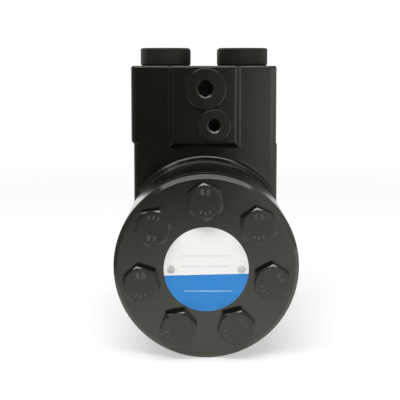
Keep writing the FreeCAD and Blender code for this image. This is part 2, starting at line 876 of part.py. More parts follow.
def spring_ring():
    """Thin ring that keeps the leaf springs from sliding out."""
    half = spring_width / 2 + spring_ring_overhang
    outer = sleeve_radius - running_gap
    return collar(outer, outer - spring_ring_thickness + running_gap,
                  -spring_depth + half, -spring_depth - half)


# Thrust bearing
def bearing_race(front):
    """Flat washer on which the needles roll."""
    return collar(sleeve_radius - running_gap, bearing_bore_radius, front, front - race_thickness)


def needle_axes():
    """Needle centre radius and station."""
    return (bearing_bore_radius + sleeve_radius) / 2, (bearing_front + bearing_rear) / 2


def bearing_needles():
    """Needles lying radially between the races."""
    radius, station = needle_axes()
    needle = rod(needle_radius, V(radius - needle_length / 2, station, 0),
                 V(radius + needle_length / 2, station, 0))
    return Part.makeCompound(pattern(needle, needle_count))


def bearing_cage():
    """Cage with one window for each needle."""
    radius, station = needle_axes()
    cage = collar(sleeve_radius - cage_gap, bearing_bore_radius + cage_gap,
                  station + cage_thickness / 2, station - cage_thickness / 2)
    window = 2 * (needle_radius + needle_gap)
    half = needle_length / 2 + needle_gap
    return cage.cut(radial_slots(needle_count, window, radius - half, radius + half,
                                 station + cage_thickness, station - cage_thickness))


# Seals on the spool's neck
def lip_seal(front, width, lip):
    """Seal ring with an outer wall, a web and a lip that meets the neck."""
    inner = neck_radius + seal_lip_gap
    return turned([(inner, 0), (inner + lip, 0), (inner + lip + width / 4, width - seal_web),
                   (seal_pocket_radius - seal_web, width - seal_web), (seal_pocket_radius - seal_web, 0),
                   (seal_pocket_radius, 0), (seal_pocket_radius, width), (inner + seal_lip_width, width),
                   (inner, width / 2)],
                  V(0, front, 0), REARWARD)


# Valve plugs and inner valve parts
def socket_plug(face_centre, thread_radius, thread_length, collar_radius, key):
    """Screw plug with a collar on the pad and a hexagon socket in its outer face."""
    corner = corner_radius(key)
    outer = face_centre + REARWARD * collar_height
    plug = turned([(0, 0), (collar_radius - collar_chamfer, 0), (collar_radius, collar_chamfer),
                   (collar_radius, collar_height), (thread_radius, collar_height),
                   (thread_radius, collar_height + thread_length), (0, collar_height + thread_length)],
                  outer, SHAFT)
    mouth = turned([(0, 0), (corner + key_chamfer / 2, 0), (corner - key_chamfer / 2, key_chamfer),
                    (0, key_chamfer)], outer, SHAFT)
    return plug.cut([hexagon(key, outer, SHAFT, key_depth, key_turn), mouth])


def relief_plug():
    """Upper socket plug."""
    return socket_plug(relief_axis(-pad_face), relief_thread_radius, relief_thread_length,
                       relief_collar_radius, relief_key)


def inlet_plug():
    """Lower socket plug."""
    return socket_plug(inlet_axis(-pad_face), inlet_thread_radius, inlet_thread_length,
                       inlet_collar_radius, inlet_key)


def valve_seat(front_centre, radius, hole, length):
    """Seat ring for a ball or a poppet."""
    rear_centre = front_centre + REARWARD * length
    return rod(radius, front_centre, rear_centre).cut(rod(hole, front_centre, rear_centre))


def poppet_shoulder():
    """Depth of the poppet's cone base when the cone rests on its seat."""
    edge = relief_seat_front + relief_seat_length
    return edge + (poppet_radius - relief_seat_hole) + seat_gap


def relief_poppet():
    """Poppet whose cone closes the seat and whose spigot centres the spring."""
    tip = poppet_radius - poppet_tip_radius
    return turned([(0, 0), (poppet_tip_radius, 0), (poppet_radius, tip),
                   (poppet_radius, tip + poppet_length), (poppet_spigot_radius, tip + poppet_length),
                   (poppet_spigot_radius, tip + poppet_length + poppet_spigot_length),
                   (0, tip + poppet_length + poppet_spigot_length)],
                  relief_axis(poppet_shoulder() - tip), REARWARD)


def relief_spring():
    """Coil spring between poppet and adjusting screw."""
    front = poppet_shoulder() + poppet_length
    return helical_spring(relief_spring_radius, relief_wire_radius, relief_screw_front - front,
                          relief_coils, relief_axis(front), REARWARD)


def relief_screw():
    """Adjusting screw with a hexagon socket."""
    screw = rod(relief_bore_radius, relief_axis(relief_screw_front),
                relief_axis(relief_screw_front + relief_screw_length))
    rear = relief_axis(relief_screw_front + relief_screw_length)
    return screw.cut(hexagon(relief_screw_key, rear, SHAFT, relief_screw_length / 2))


def ball_on_seat(seat_rear_centre, hole):
    """Centre of a ball that rests on the rear edge of a seat's hole."""
    rise = math.sqrt(ball_radius ** 2 - hole ** 2) + seat_gap
    return seat_rear_centre + REARWARD * rise


def inlet_ball_centre():
    """Centre of the inlet valve's ball at rest."""
    return ball_on_seat(inlet_axis(inlet_seat_front + inlet_seat_length), inlet_seat_hole)


def emergency_ball_centre():
    """Centre of the emergency ball at rest."""
    return ball_on_seat(emergency_axis(ball_seat_front + ball_seat_length), ball_seat_hole)


def inlet_spring():
    """Light spring that holds the inlet ball on its seat."""
    hold = math.sqrt(ball_radius ** 2 - inlet_spring_radius ** 2) - inlet_wire_radius
    start = inlet_ball_centre() + REARWARD * (hold + 2 * inlet_wire_radius)
    length = start.y - (pad_face + inlet_thread_length)
    return helical_spring(inlet_spring_radius, inlet_wire_radius, length, inlet_coils, start, REARWARD)


def ball_seat():
    """Threaded bush on which the emergency ball rests."""
    return valve_seat(emergency_axis(ball_seat_front), bolt_radius, ball_seat_hole, ball_seat_length)


# Transport plugs
def port_plug(name):
    """Plastic plug with a round head and a hexagon socket, screwed into a port."""
    top = ports[name] + UP * plug_head_height
    foot = plug_head_height
    thread = port_radius - plug_thread_gap
    end = foot + plug_thread_length
    plug = turned([(0, 0), (plug_head_radius - plug_top_edge, 0), (plug_head_radius, plug_top_edge),
                   (plug_head_radius, foot - plug_foot_chamfer),
                   (plug_head_radius - plug_foot_inset, foot), (thread, foot), (thread, end),
                   (0, end)], top, -UP)
    recess = rod(plug_recess_radius, top, top - UP * plug_recess_depth)
    return plug.cut([recess, hexagon(plug_key, top, -UP, plug_key_depth)])


# Name plate
def rivet_places():
    """Places of the two rivets on the cover."""
    return [(side * rivet_spacing / 2, -plate_drop) for side in (-1, 1)]


def name_plate():
    """Thin round plate with its two rivet holes."""
    plate = disc(plate_radius, cover_face, cover_face - name_plate_thickness, 0, -plate_drop)
    holes = [disc(rivet_radius + thread_gap, cover_face, cover_face - name_plate_thickness, x, z)
             for x, z in rivet_places()]
    return plate.cut(holes)


def plate_rivets():
    """Drive rivets with low round heads on the plate."""
    edge = rivet_head_height / 2
    tip = rivet_head_height + rivet_length
    outline = [(0, 0), (rivet_head_radius - edge, 0), (rivet_head_radius, edge),
               (rivet_head_radius, rivet_head_height), (rivet_radius, rivet_head_height),
               (rivet_radius, tip), (0, tip)]
    outer = cover_face - name_plate_thickness - rivet_head_height
    return Part.makeCompound([turned(outline, V(x, outer, z), SHAFT) for x, z in rivet_places()])


nodes = {
    "housing": housing(),
    "distributor_plate": distributor_plate(),
    "gear_ring": gear_ring(),
    "end_cover": end_cover(),
    "cover_bolts": cover_bolts(),
    "pin_bolt": pin_bolt(),
    "seal_housing": face_seal(seam, 1),
    "seal_ring_front": face_seal(ring_front, -1),
    "seal_ring_rear": face_seal(ring_rear, 1),
    "name_plate": name_plate(),
    "plate_rivets": plate_rivets(),
    "rotor": rotor(),
    "link_spacer": link_spacer(),
    "drive_link": drive_link(),
    "sleeve": sleeve(),
    "spool": spool(),
    "cross_pin": cross_pin(),
    "centering_springs": centering_springs(),
    "spring_ring": spring_ring(),
    "bearing_race_outer": bearing_race(bearing_front),
    "bearing_race_inner": bearing_race(bearing_rear + race_thickness),
    "bearing_cage": bearing_cage(),
    "bearing_needles": bearing_needles(),
    "dust_seal": lip_seal(-dust_seal_recess, dust_seal_width, seal_lip_width),
    "shaft_seal": lip_seal(-dust_seal_recess - dust_seal_width, shaft_seal_width, seal_lip_width),
    "relief_plug": relief_plug(),
    "relief_screw": relief_screw(),
    "relief_spring": relief_spring(),
    "relief_poppet": relief_poppet(),
    "relief_seat": valve_seat(relief_axis(relief_seat_front), relief_bore_radius,
                              relief_seat_hole, relief_seat_length),
    "inlet_plug": inlet_plug(),
    "inlet_spring": inlet_spring(),
    "inlet_ball": Part.makeSphere(ball_radius, inlet_ball_centre()),
    "inlet_seat": valve_seat(inlet_axis(inlet_seat_front), inlet_bore_radius,
                             inlet_seat_hole, inlet_seat_length),
    "emergency_ball": Part.makeSphere(ball_radius, emergency_ball_centre()),
    "ball_seat": ball_seat(),
}
for port in ports:
    nodes["port_plug_" + port] = port_plug(port)

os.makedirs("parts", exist_ok=True)
for name, shape in nodes.items():
    shape.exportStep("parts/" + name + ".step")
    print(name, len(shape.Solids), "valid" if shape.isValid() else "INVALID", round(shape.Volume, 1))
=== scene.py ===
"""Looks of a hydraulic steering unit: painted casting, bolted cover, name plate and transport plugs.

Everything is in metres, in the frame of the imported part: the shaft axis lies along Y, the ports point up
along +Z and the end cover faces -Y.
"""
import logging
import math
from dataclasses import dataclass
from enum import Enum

import bmesh
import bpy
from mathutils import Matrix, Vector


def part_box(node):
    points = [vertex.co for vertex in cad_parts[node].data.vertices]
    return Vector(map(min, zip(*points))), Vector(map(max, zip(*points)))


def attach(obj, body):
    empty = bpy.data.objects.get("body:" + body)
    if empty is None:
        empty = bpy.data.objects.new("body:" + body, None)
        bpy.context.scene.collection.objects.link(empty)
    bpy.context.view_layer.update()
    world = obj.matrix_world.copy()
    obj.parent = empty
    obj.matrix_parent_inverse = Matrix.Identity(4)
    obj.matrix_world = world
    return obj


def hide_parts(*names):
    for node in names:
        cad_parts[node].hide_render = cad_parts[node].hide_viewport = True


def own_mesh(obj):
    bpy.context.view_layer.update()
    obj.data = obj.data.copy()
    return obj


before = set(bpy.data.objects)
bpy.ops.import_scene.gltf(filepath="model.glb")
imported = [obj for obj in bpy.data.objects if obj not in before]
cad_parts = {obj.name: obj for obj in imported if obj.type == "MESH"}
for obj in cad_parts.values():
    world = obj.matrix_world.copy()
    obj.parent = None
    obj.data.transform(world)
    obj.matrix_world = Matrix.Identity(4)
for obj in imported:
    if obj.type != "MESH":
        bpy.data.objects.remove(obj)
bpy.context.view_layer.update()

log = logging.getLogger("steering_unit")

MM = 0.001
HOUSING_BODY = "housing"
MERGE_DISTANCE = 0.002 * MM
FLAT_ANGLE = math.radians(0.5)
SHARP_ANGLE = math.radians(32.0)
EDGE_FACES = 2
EDGE_SAMPLES = 6
HEXAGON_SIDES = 6
SIDE_ANGLE = 360.0 / HEXAGON_SIDES
Colour = tuple[float, float, float]
Profile = list[tuple[float, float]]
Layer = tuple[bpy.types.Object, tuple[float, ...]]
Socket = bpy.types.NodeSocket


# Node trees
class Nodes:
    """Adds and joins the nodes of one tree."""

    def __init__(self, tree: bpy.types.NodeTree) -> None:
        """Takes the tree."""
        self.tree = tree

    def add(self, kind: str, ends: dict[str, object] | None = None, **settings: object) -> bpy.types.Node:
        """Adds a node.

        Args:
            kind: type name of the node.
            ends: what goes into its inputs by name, each a socket of another node or a plain value.
            **settings: properties of the node by name.

        Returns:
            The new node.
        """
        node = self.tree.nodes.new(kind)
        for name, value in settings.items():
            setattr(node, name, value)
        for name, value in (ends or {}).items():
            self.feed(node.inputs[name], value)
        return node

    def feed(self, end: Socket, value: object) -> None:
        """Joins a socket to an input, or sets the input to a plain value.

        Args:
            end: the input.
            value: a socket of another node or a plain value.
        """
        if isinstance(value, Socket):
            self.tree.links.new(value, end)
        else:
            end.default_value = value

    def calculate(self, operation: str, *values: object) -> Socket:
        """Adds a math node.

        Args:
            operation: name of the operation.
            *values: what goes into its inputs, in their order.

        Returns:
            The result.
        """
        node = self.add("ShaderNodeMath", operation=operation)
        for end, value in zip(node.inputs, values):
            self.feed(end, value)
        return node.outputs["Value"]

    def spread(self, value: Socket, low: float, high: float, start: float = 0.3, end: float = 0.7,
               change: str = "LINEAR") -> Socket:
        """Maps a value between start and end to a range.

        Args:
            value: the socket to map.
            low: result up to start.
            high: result from end on.
            start: first limit of the value.
            end: second limit of the value.
            change: kind of change between the two.

        Returns:
            The mapped value.
        """
        limits = {"From Min": start, "From Max": end, "To Min": low, "To Max": high}
        return self.add("ShaderNodeMapRange", {"Value": value, **limits},
                        interpolation_type=change).outputs["Result"]


class Graph(Nodes):
    """A material's node tree under construction, with its Principled shader ready."""

    def __init__(self, name: str, constants: dict[str, object]) -> None:
        """Makes the material.

        Args:
            name: name of the material.
            constants: values of the shader's own sockets that are the same all over the surface.
        """
        self.material = bpy.data.materials.new(name)
        self.material.use_nodes = True
        super().__init__(self.material.node_tree)
        self.shader = self.tree.nodes["Principled BSDF"]
        self.place = self.add("ShaderNodeTexCoord").outputs["Object"]
        for key, value in constants.items():
            self.shader.inputs[key].default_value = value

    def noise(self, size: float, detail: float, roughness: float = 0.5) -> Socket:
        """Adds a noise texture on Object coordinates.

        Args:
            size: size of its blotches in metres.
            detail: number of finer layers.
            roughness: weight of the finer layers.

        Returns:
            The noise's value.
        """
        return self.add("ShaderNodeTexNoise", {"Vector": self.place, "Scale": 1.0 / size, "Detail": detail,
                                               "Roughness": roughness}).outputs["Fac"]

    def around(self, value: Socket, middle: float, swing: float) -> Socket:
        """Maps a noise to a range that reaches as far to both sides of a middle."""
        return self.spread(value, middle - swing, middle + swing)

    def tint(self, factor: Socket, first: Colour | Socket, second: Colour | Socket) -> Socket:
        """Mixes two colours.

        Args:
            factor: share of the second colour.
            first: colour at 0.
            second: colour at 1.

        Returns:
            The mixed colour.
        """
        ends = {"A": first, "B": second}
        for name, colour in ends.items():
            if isinstance(colour, tuple):
                ends[name] = (*colour, 1.0)
        return self.add("ShaderNodeMix", {"Factor": factor, **ends}, data_type="RGBA").outputs["Result"]

    def bump(self, height: Socket, depth: float, below: Socket | None = None) -> Socket:
        """Turns a height into a bumped normal.

        Args:
            height: value from 0 to 1.
            depth: height of a full step in metres.
            below: normal that the bump is laid on.

        Returns:
            The normal.
        """
        node = self.add("ShaderNodeBump", {"Distance": depth, "Height": height})
        if below is not None:
            self.feed(node.inputs["Normal"], below)
        return node.outputs["Normal"]

    def rounded_edges(self, radius: float) -> Socket:
        """Normal that rounds sharp edges by a radius in metres."""
        return self.add("ShaderNodeBevel", {"Radius": radius}, samples=EDGE_SAMPLES).outputs["Normal"]

    def finished(self, colour: Socket, roughness: Socket, normal: Socket) -> bpy.types.Material:
        """Joins what varies over the surface to the shader.

        Args:
            colour: the base colour.
            roughness: the roughness.
            normal: the normal.

        Returns:
            The material.
        """
        for name, value in (("Base Color", colour), ("Roughness", roughness), ("Normal", normal)):
            self.feed(self.shader.inputs[name], value)
        return self.material


# Finishes
@dataclass(frozen=True)
class Paint:
    """Dark film over metal: sprayed paint or blackening, also used for painted shade in a socket and a
    painted highlight on raised marks.

    Attributes:
        name: name of the material.
        dark: colour of the film.
        light: colour of its thin and dusty places.
        roughness: middle roughness.
        gloss: specular level of the film.
        grain: size of the surface's bumps in metres.
        depth: height of those bumps in metres.
        edge: radius of the rounded edges in metres.
        gloss_tint: tint of the gloss.
        blotch: size of the thin and dusty places in metres.
        speck: size of the specks in the gloss in metres.
        swing: how far the roughness reaches to both sides.
        wave_size: size of the film's waves in grains.
        wave_depth: height of the waves in heights of a bump.
    """

    name: str
    dark: Colour
    light: Colour
    roughness: float
    gloss: float
    grain: float
    depth: float
    edge: float
    gloss_tint: Colour = (1.0, 1.0, 0.86)
    blotch: float = 14 * MM
    speck: float = 0.7 * MM
    swing: float = 0.03
    wave_size: float = 8.0
    wave_depth: float = 2.0

    def build(self) -> bpy.types.Material:
        """Makes the material.

        Returns:
            The new material.
        """
        graph = Graph(self.name, {"Specular IOR Level": self.gloss, "Specular Tint": (*self.gloss_tint, 1.0)})
        blotches = graph.spread(graph.noise(self.blotch, detail=4.0, roughness=0.6), 0.0, 1.0)
        specks = graph.noise(self.speck, detail=2.0)
        waves = graph.noise(self.wave_size * self.grain, detail=2.0)
        normal = graph.bump(waves, self.wave_depth * self.depth, graph.rounded_edges(self.edge))
        normal = graph.bump(graph.noise(self.grain, detail=3.0), self.depth, normal)
        return graph.finished(graph.tint(blotches, self.dark, self.light),
                              graph.around(specks, self.roughness, self.swing), normal)


@dataclass(frozen=True)
class Metal:
    """Bare machined or hardened metal with fine grinding marks.

    Attributes:
        name: name of the material.
        colour: colour of the metal.
        roughness: middle roughness.
        scratch: size of the marks in metres.
        depth: depth of the marks in metres.
        edge: radius of the rounded edges in metres.
        stain: size of the darker places in metres.
        shade: brightness of the darker places, as a share of the rest.
        swing: how far the roughness reaches to both sides.
    """

    name: str
    colour: Colour
    roughness: float
    scratch: float
    depth: float = 0.004 * MM
    edge: float = 0.12 * MM
    stain: float = 5 * MM
    shade: float = 0.8
    swing: float = 0.06

    def build(self) -> bpy.types.Material:
        """Makes the material.

        Returns:
            The new material.
        """
        graph = Graph(self.name, {"Metallic": 1.0})
        stains = graph.spread(graph.noise(self.stain, detail=3.0), 0.0, 1.0)
        stained = tuple(self.shade * part for part in self.colour)
        marks = graph.noise(self.scratch, detail=3.0, roughness=0.7)
        return graph.finished(graph.tint(stains, self.colour, stained),
                              graph.around(marks, self.roughness, self.swing),
                              graph.bump(marks, self.depth, graph.rounded_edges(self.edge)))


@dataclass(frozen=True)
class Moulding:
    """Matt surface with a fine texture: moulded plastic, rubber, ink or tumbled aluminium.

    Attributes:
        name: name of the material.
        colour: colour of the material.
        roughness: middle roughness.
        gloss: specular level.
        depth: height of the texture in metres.
        grain: size of the texture in metres.
        scuff: size of the scuffed places in metres.
        scuff_limits: values of the noise at which the scuffs start and are full.
        shade: brightness of the scuffed places, as a share of the rest.
        swing: how far the roughness reaches to both sides.
    """

    name: str
    colour: Colour
    roughness: float
    gloss: float
    depth: float
    grain: float = 0.35 * MM
    scuff: float = 3 * MM
    scuff_limits: tuple[float, float] = (0.45, 0.75)
    shade: float = 1.7
    swing: float = 0.06

    def build(self) -> bpy.types.Material:
        """Makes the material.

        Returns:
            The new material.
        """
        graph = Graph(self.name, {"Specular IOR Level": self.gloss})
        scuffs = graph.spread(graph.noise(self.scuff, detail=5.0, roughness=0.7), 0.0, 1.0,
                              *self.scuff_limits)
        scuffed = tuple(self.shade * part for part in self.colour)
        grain = graph.noise(self.grain, detail=2.0)
        return graph.finished(graph.tint(scuffs, self.colour, scuffed),
                              graph.around(grain, self.roughness, self.swing), graph.bump(grain, self.depth))


@dataclass(frozen=True)
class PlatePrint:
    """Printed name plate: white above, blue below, with a thin white line between them.

    Attributes:
        name: name of the material.
        white: colour of the upper field.
        blue: colour of the lower field.
        border: height of the border line over the shaft axis, at the middle, in metres.
        tilt: slope of the border line, rising to the right.
        line: thickness of the white line in metres.
        line_shade: brightness of the white line, as a share of the upper field.
        softness: half of the width over which the print changes colour, in metres.
        gloss: specular level.
        film: size of the film's unevenness in metres.
        depth: height of that unevenness in metres.
        roughness: middle roughness.
        swing: how far the roughness reaches to both sides.
    """

    name: str
    white: Colour
    blue: Colour
    border: float
    tilt: float
    line: float
    line_shade: float = 1.06
    softness: float = 0.04 * MM
    gloss: float = 0.35
    film: float = 1.5 * MM
    depth: float = 0.01 * MM
    roughness: float = 0.41
    swing: float = 0.05

    def build(self) -> bpy.types.Material:
        """Makes the material.

        Returns:
            The new material.
        """
        graph = Graph(self.name, {"Specular IOR Level": self.gloss})
        split = graph.add("ShaderNodeSeparateXYZ", {"Vector": graph.place}).outputs
        height = graph.calculate("MULTIPLY_ADD", split["X"], -self.tilt, split["Z"])
        above_border, above_line = (
            graph.spread(height, 0.0, 1.0, level - self.softness, level + self.softness)
            for level in (self.border, self.border + self.line))
        bright = tuple(min(1.0, self.line_shade * part) for part in self.white)
        upper = graph.tint(above_line, bright, self.white)
        film = graph.noise(self.film, detail=3.0)
        return graph.finished(graph.tint(above_border, self.blue, upper),
                              graph.around(film, self.roughness, self.swing), graph.bump(film, self.depth))


CASTING = Paint("painted_casting", dark=(0.0045, 0.0045, 0.0030), light=(0.0075, 0.0075, 0.0055),
                roughness=0.13, gloss=0.5, grain=0.9 * MM, depth=0.006 * MM, edge=1.5 * MM)
TURNED = Paint("painted_turned_steel", dark=(0.0055, 0.0055, 0.0040), light=(0.0085, 0.0085, 0.0066),
               roughness=0.13, gloss=0.8, grain=0.5 * MM, depth=0.001 * MM, edge=0.55 * MM)
BOLT_BLACK = Paint("blackened_bolt_steel", dark=(0.0060, 0.0060, 0.0048), light=(0.0110, 0.0110, 0.0092),
                   roughness=0.19, gloss=0.65, grain=0.5 * MM, depth=0.002 * MM, edge=0.15 * MM)
# Painted highlight: a lighter copy of the blackened steel on the raised marks of the bolt heads, so they show
# bright.
PAINTED_MARK_HIGHLIGHT = Paint("worn_marks", dark=(0.020, 0.020, 0.017), light=(0.080, 0.080, 0.070),
                   roughness=0.3, gloss=0.7, grain=0.6 * MM, depth=0.004 * MM, edge=0.06 * MM)
PLUG_BLACK = Paint("blackened_plug_steel", dark=(0.0045, 0.0045, 0.0034), light=(0.0080, 0.0080, 0.0065),
                   roughness=0.15, gloss=0.5, grain=0.6 * MM, depth=0.002 * MM, edge=0.15 * MM)
# Painted shade: a near-black film for the deep faces of a plug's socket, where the hole is in shade.
SOCKET_PAINTED_SHADE = Paint("socket_dark", dark=(0.0020, 0.0020, 0.0016), light=(0.0040, 0.0040, 0.0034),
                    roughness=0.5, gloss=0.1, grain=0.6 * MM, depth=0.002 * MM, edge=0.1 * MM)
# Painted highlight: bright bare metal on the lower slanted faces of a socket's mouth, where light from above
# falls.
SOCKET_MOUTH_HIGHLIGHT = Metal("worn_socket_edge", colour=(0.24, 0.24, 0.23), roughness=0.3, scratch=0.1 * MM)
CAP_PLASTIC = Moulding("cap_plastic", colour=(0.0085, 0.0085, 0.0052), roughness=0.5, gloss=0.25,
                       depth=0.008 * MM)
RUBBER = Moulding("seal_rubber", colour=(0.018, 0.018, 0.018), roughness=0.6, gloss=0.3, depth=0.01 * MM)
PLATE = PlatePrint("plate_print", white=(0.725, 0.716, 0.695), blue=(0.0185, 0.195, 0.525),
                   border=-3.57 * MM, tilt=0.0229, line=0.3 * MM)
INK = Moulding("ruled_ink", colour=(0.30, 0.42, 0.55), roughness=0.5, gloss=0.3, depth=0.001 * MM)
WHITE_INK = Moulding("ruled_white_ink", colour=(0.55, 0.66, 0.80), roughness=0.5, gloss=0.3,
                     depth=0.001 * MM)
RIVET = Moulding("rivet_aluminium", colour=(0.40, 0.40, 0.385), roughness=0.4, gloss=0.5,
                 depth=0.004 * MM)
GROUND = Metal("ground_steel", colour=(0.56, 0.56, 0.55), roughness=0.32, scratch=0.15 * MM)
HARD = Metal("hardened_steel", colour=(0.62, 0.62, 0.63), roughness=0.2, scratch=0.1 * MM)
SPRING = Metal("spring_steel", colour=(0.30, 0.31, 0.34), roughness=0.34, scratch=0.15 * MM)
Finish = Paint | Metal | Moulding | PlatePrint


class Workshop:
    """Builds each finish once and puts it on pieces."""

    def __init__(self) -> None:
        """Starts with no material."""
        self.made: dict[str, bpy.types.Material] = {}

    def material(self, finish: Finish) -> bpy.types.Material:
        """Makes the material of a finish at its first use.

        Args:
            finish: the finish.

        Returns:
            Its material.
        """
        if finish.name not in self.made:
            self.made[finish.name] = finish.build()
        return self.made[finish.name]

    def dress(self, piece: bpy.types.Object, *finishes: Finish) -> None:
        """Gives a piece its finishes, of which the first covers it.

        Args:
            piece: the piece.
            *finishes: the finishes in the order of their numbers.
        """
        piece.data.materials.clear()
        for finish in finishes:
            piece.data.materials.append(self.material(finish))

    def dress_nodes(self, names: tuple[str, ...], finish: Finish) -> None:
        """Gives nodes of the frame one finish and reports them.

        Args:
            names: names of the nodes.
            finish: the finish.
        """
        for name in names:
            self.dress(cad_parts[name], finish)
            log.info("node %s: %s", name, finish.name)


# Mesh helpers
def new_piece(name: str, data: bpy.types.Mesh | bpy.types.Curve) -> bpy.types.Object:
    """Puts a mesh or a curve into the scene at the origin.

    Args:
        name: name of the piece.
        data: its mesh or curve, with its place in its points.

    Returns:
        The new object.
    """
    piece = bpy.data.objects.new(name, data)
    bpy.context.scene.collection.objects.link(piece)
    return piece


def stand_for(piece: bpy.types.Object, node: str) -> None:
    """Lets a piece on the housing's body stand for a node, and reports it.

    Args:
        piece: the piece.
        node: the node that it hides.
    """
    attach(piece, HOUSING_BODY)
    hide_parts(node)
    log.info("piece %s stands for %s", piece.name, node)


def shade_by_angle(mesh: bpy.types.Mesh, degrees: float) -> None:
    """Shades a mesh smooth, apart from edges sharper than an angle."""
    mesh.shade_smooth()
    mesh.set_sharp_from_angle(angle=math.radians(degrees))


def written(shape: bmesh.types.BMesh, mesh: bpy.types.Mesh) -> bpy.types.Mesh:
    """Writes a shape into a mesh and frees the shape.

    Args:
        shape: the shape.
        mesh: the mesh that takes it.

    Returns:
        The same mesh.
    """
    shape.to_mesh(mesh)
    shape.free()
    return mesh


def baked(draft: bpy.types.Object, name: str) -> bpy.types.Mesh:
    """Turns an object and its modifiers into a plain mesh.

    Args:
        draft: the object, which is removed.
        name: name of the mesh.

    Returns:
        The new mesh.
    """
    graph = bpy.context.evaluated_depsgraph_get()
    mesh = bpy.data.meshes.new_from_object(draft.evaluated_get(graph))
    mesh.name = name
    bpy.data.objects.remove(draft)
    return mesh


def flat_shaded(draft: bpy.types.Object, name: str) -> bpy.types.Object:
    """Piece whose large faces keep their own direction in the shading.

    Args:
        draft: the piece with its modifiers, which is removed.
        name: name of the new piece.

    Returns:
        The new piece, with no modifier on it.
    """
    flat = draft.modifiers.new("flat_faces", "WEIGHTED_NORMAL")
    flat.mode = "FACE_AREA_WITH_ANGLE"
    flat.weight = 100
    flat.keep_sharp = True
    return new_piece(name, baked(draft, name))


def merged_copy(node: str, flatten: bool = False) -> bpy.types.Mesh:
    """Copy of a node's mesh with its doubled points merged.

    Args:
        node: the node that is copied.
        flatten: whether the triangles of a flat face become one face.

    Returns:
        The copy.
    """
    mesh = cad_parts[node].data.copy()
    shape = bmesh.new()
    shape.from_mesh(mesh)
    bmesh.ops.remove_doubles(shape, verts=shape.verts, dist=MERGE_DISTANCE)
    if flatten:
        bmesh.ops.dissolve_limit(shape, angle_limit=FLAT_ANGLE, use_dissolve_boundaries=False,
                                 verts=shape.verts, edges=shape.edges)
    return written(shape, mesh)


def bevelled_copy(node: str, name: str, width: float) -> bpy.types.Object:
    """Copy of a node's mesh with small rounded edges.

    Args:
        node: the node that is copied.
        name: name of the new piece.
        width: width of the rounding in metres.

    Returns:
        The new piece, with no modifier on it.
    """
    mesh = merged_copy(node, flatten=True)
    mesh.shade_smooth()
    draft = new_piece(name + "_draft", mesh)
    bevel = draft.modifiers.new("edge_rounding", "BEVEL")
    bevel.harden_normals = True
    bevel.width = width
    bevel.segments = EDGE_FACES
    bevel.limit_method = "ANGLE"
    bevel.angle_limit = SHARP_ANGLE
    bevel.use_clamp_overlap = True
    return flat_shaded(draft, name)


def ring_mesh(name: str, rings: list[list[Vector]]) -> bpy.types.Mesh:
    """Closed skin over a stack of rings with as many points each, capped at both ends.

    Args:
        name: name of the mesh.
        rings: the rings, each a list of points in the same order.

    Returns:
        The mesh with its faces outwards.
    """
    shape = bmesh.new()
    loops = [[shape.verts.new(point) for point in ring] for ring in rings]
    count = len(loops[0])
    for lower, upper in zip(loops, loops[1:]):
        for k in range(count):
            shape.faces.new((lower[k], lower[(k + 1) % count], upper[(k + 1) % count], upper[k]))
    shape.faces.new(list(reversed(loops[0])))
    shape.faces.new(loops[-1])
    bmesh.ops.recalc_face_normals(shape, faces=shape.faces)
    return written(shape, bpy.data.meshes.new(name))


def skin(name: str, angles: list[float], sections: list[Profile]) -> bpy.types.Mesh:
    """Closed skin round the Y axis, with a section in each of several directions.

    Args:
        name: name of the mesh.
        angles: the directions in degrees, from +X towards +Z.
        sections: the section in each direction, as pairs of radius and rise towards -Y.

    Returns:
        The mesh with its faces outwards.
    """
    columns = []
    for degrees, section in zip(angles, sections):
        across, up = math.cos(math.radians(degrees)), math.sin(math.radians(degrees))
        columns.append([Vector((radius * across, -rise, radius * up)) for radius, rise in section])
    return ring_mesh(name, [list(ring) for ring in zip(*columns)])


def turned_mesh(name: str, section: Profile, steps: int) -> bpy.types.Mesh:
    """Closed skin turned about the Y axis.

    Args:
        name: name of the mesh.
        section: its outline, as pairs of radius and rise towards -Y.
        steps: number of faces round the axis.

    Returns:
        The mesh with its faces outwards.
    """
    return skin(name, [360.0 * k / steps for k in range(steps)], [section] * steps)


def boxes_mesh(name: str, places: list[Matrix], rounding: float = 0.0) -> bpy.types.Mesh:
    """Boxes, each placed and sized by a matrix.

    Args:
        name: name of the mesh.
        places: what turns a cube with sides of 1 into each box.
        rounding: radius on their edges.

    Returns:
        The mesh.
    """
    shape = bmesh.new()
    for place in places:
        box = bmesh.ops.create_cube(shape, size=1.0)["verts"]
        bmesh.ops.transform(shape, verts=box, matrix=place)
    if rounding > 0.0:
        bmesh.ops.bevel(shape, geom=shape.edges[:], offset=rounding, segments=EDGE_FACES, profile=0.5,
                        affect="EDGES")
    return written(shape, bpy.data.meshes.new(name))


def joined(pieces: list[bpy.types.Object], name: str) -> bpy.types.Object:
    """One piece from several, each with its own finish.

    Args:
        pieces: the pieces, which are removed.
        name: name of the new piece.

    Returns:
        The new piece.
    """
    shape = bmesh.new()
    finishes: list[bpy.types.Material] = []
    for piece in pieces:
        finish = piece.data.materials[0]
        if finish not in finishes:
            finishes.append(finish)
        known = len(shape.faces)
        shape.from_mesh(piece.data)
        shape.faces.ensure_lookup_table()
        for face in shape.faces[known:]:
            face.material_index = finishes.index(finish)
    mesh = written(shape, bpy.data.meshes.new(name))
    for finish in finishes:
        mesh.materials.append(finish)
    for piece in pieces:
        bpy.data.objects.remove(piece)
    return new_piece(name, mesh)


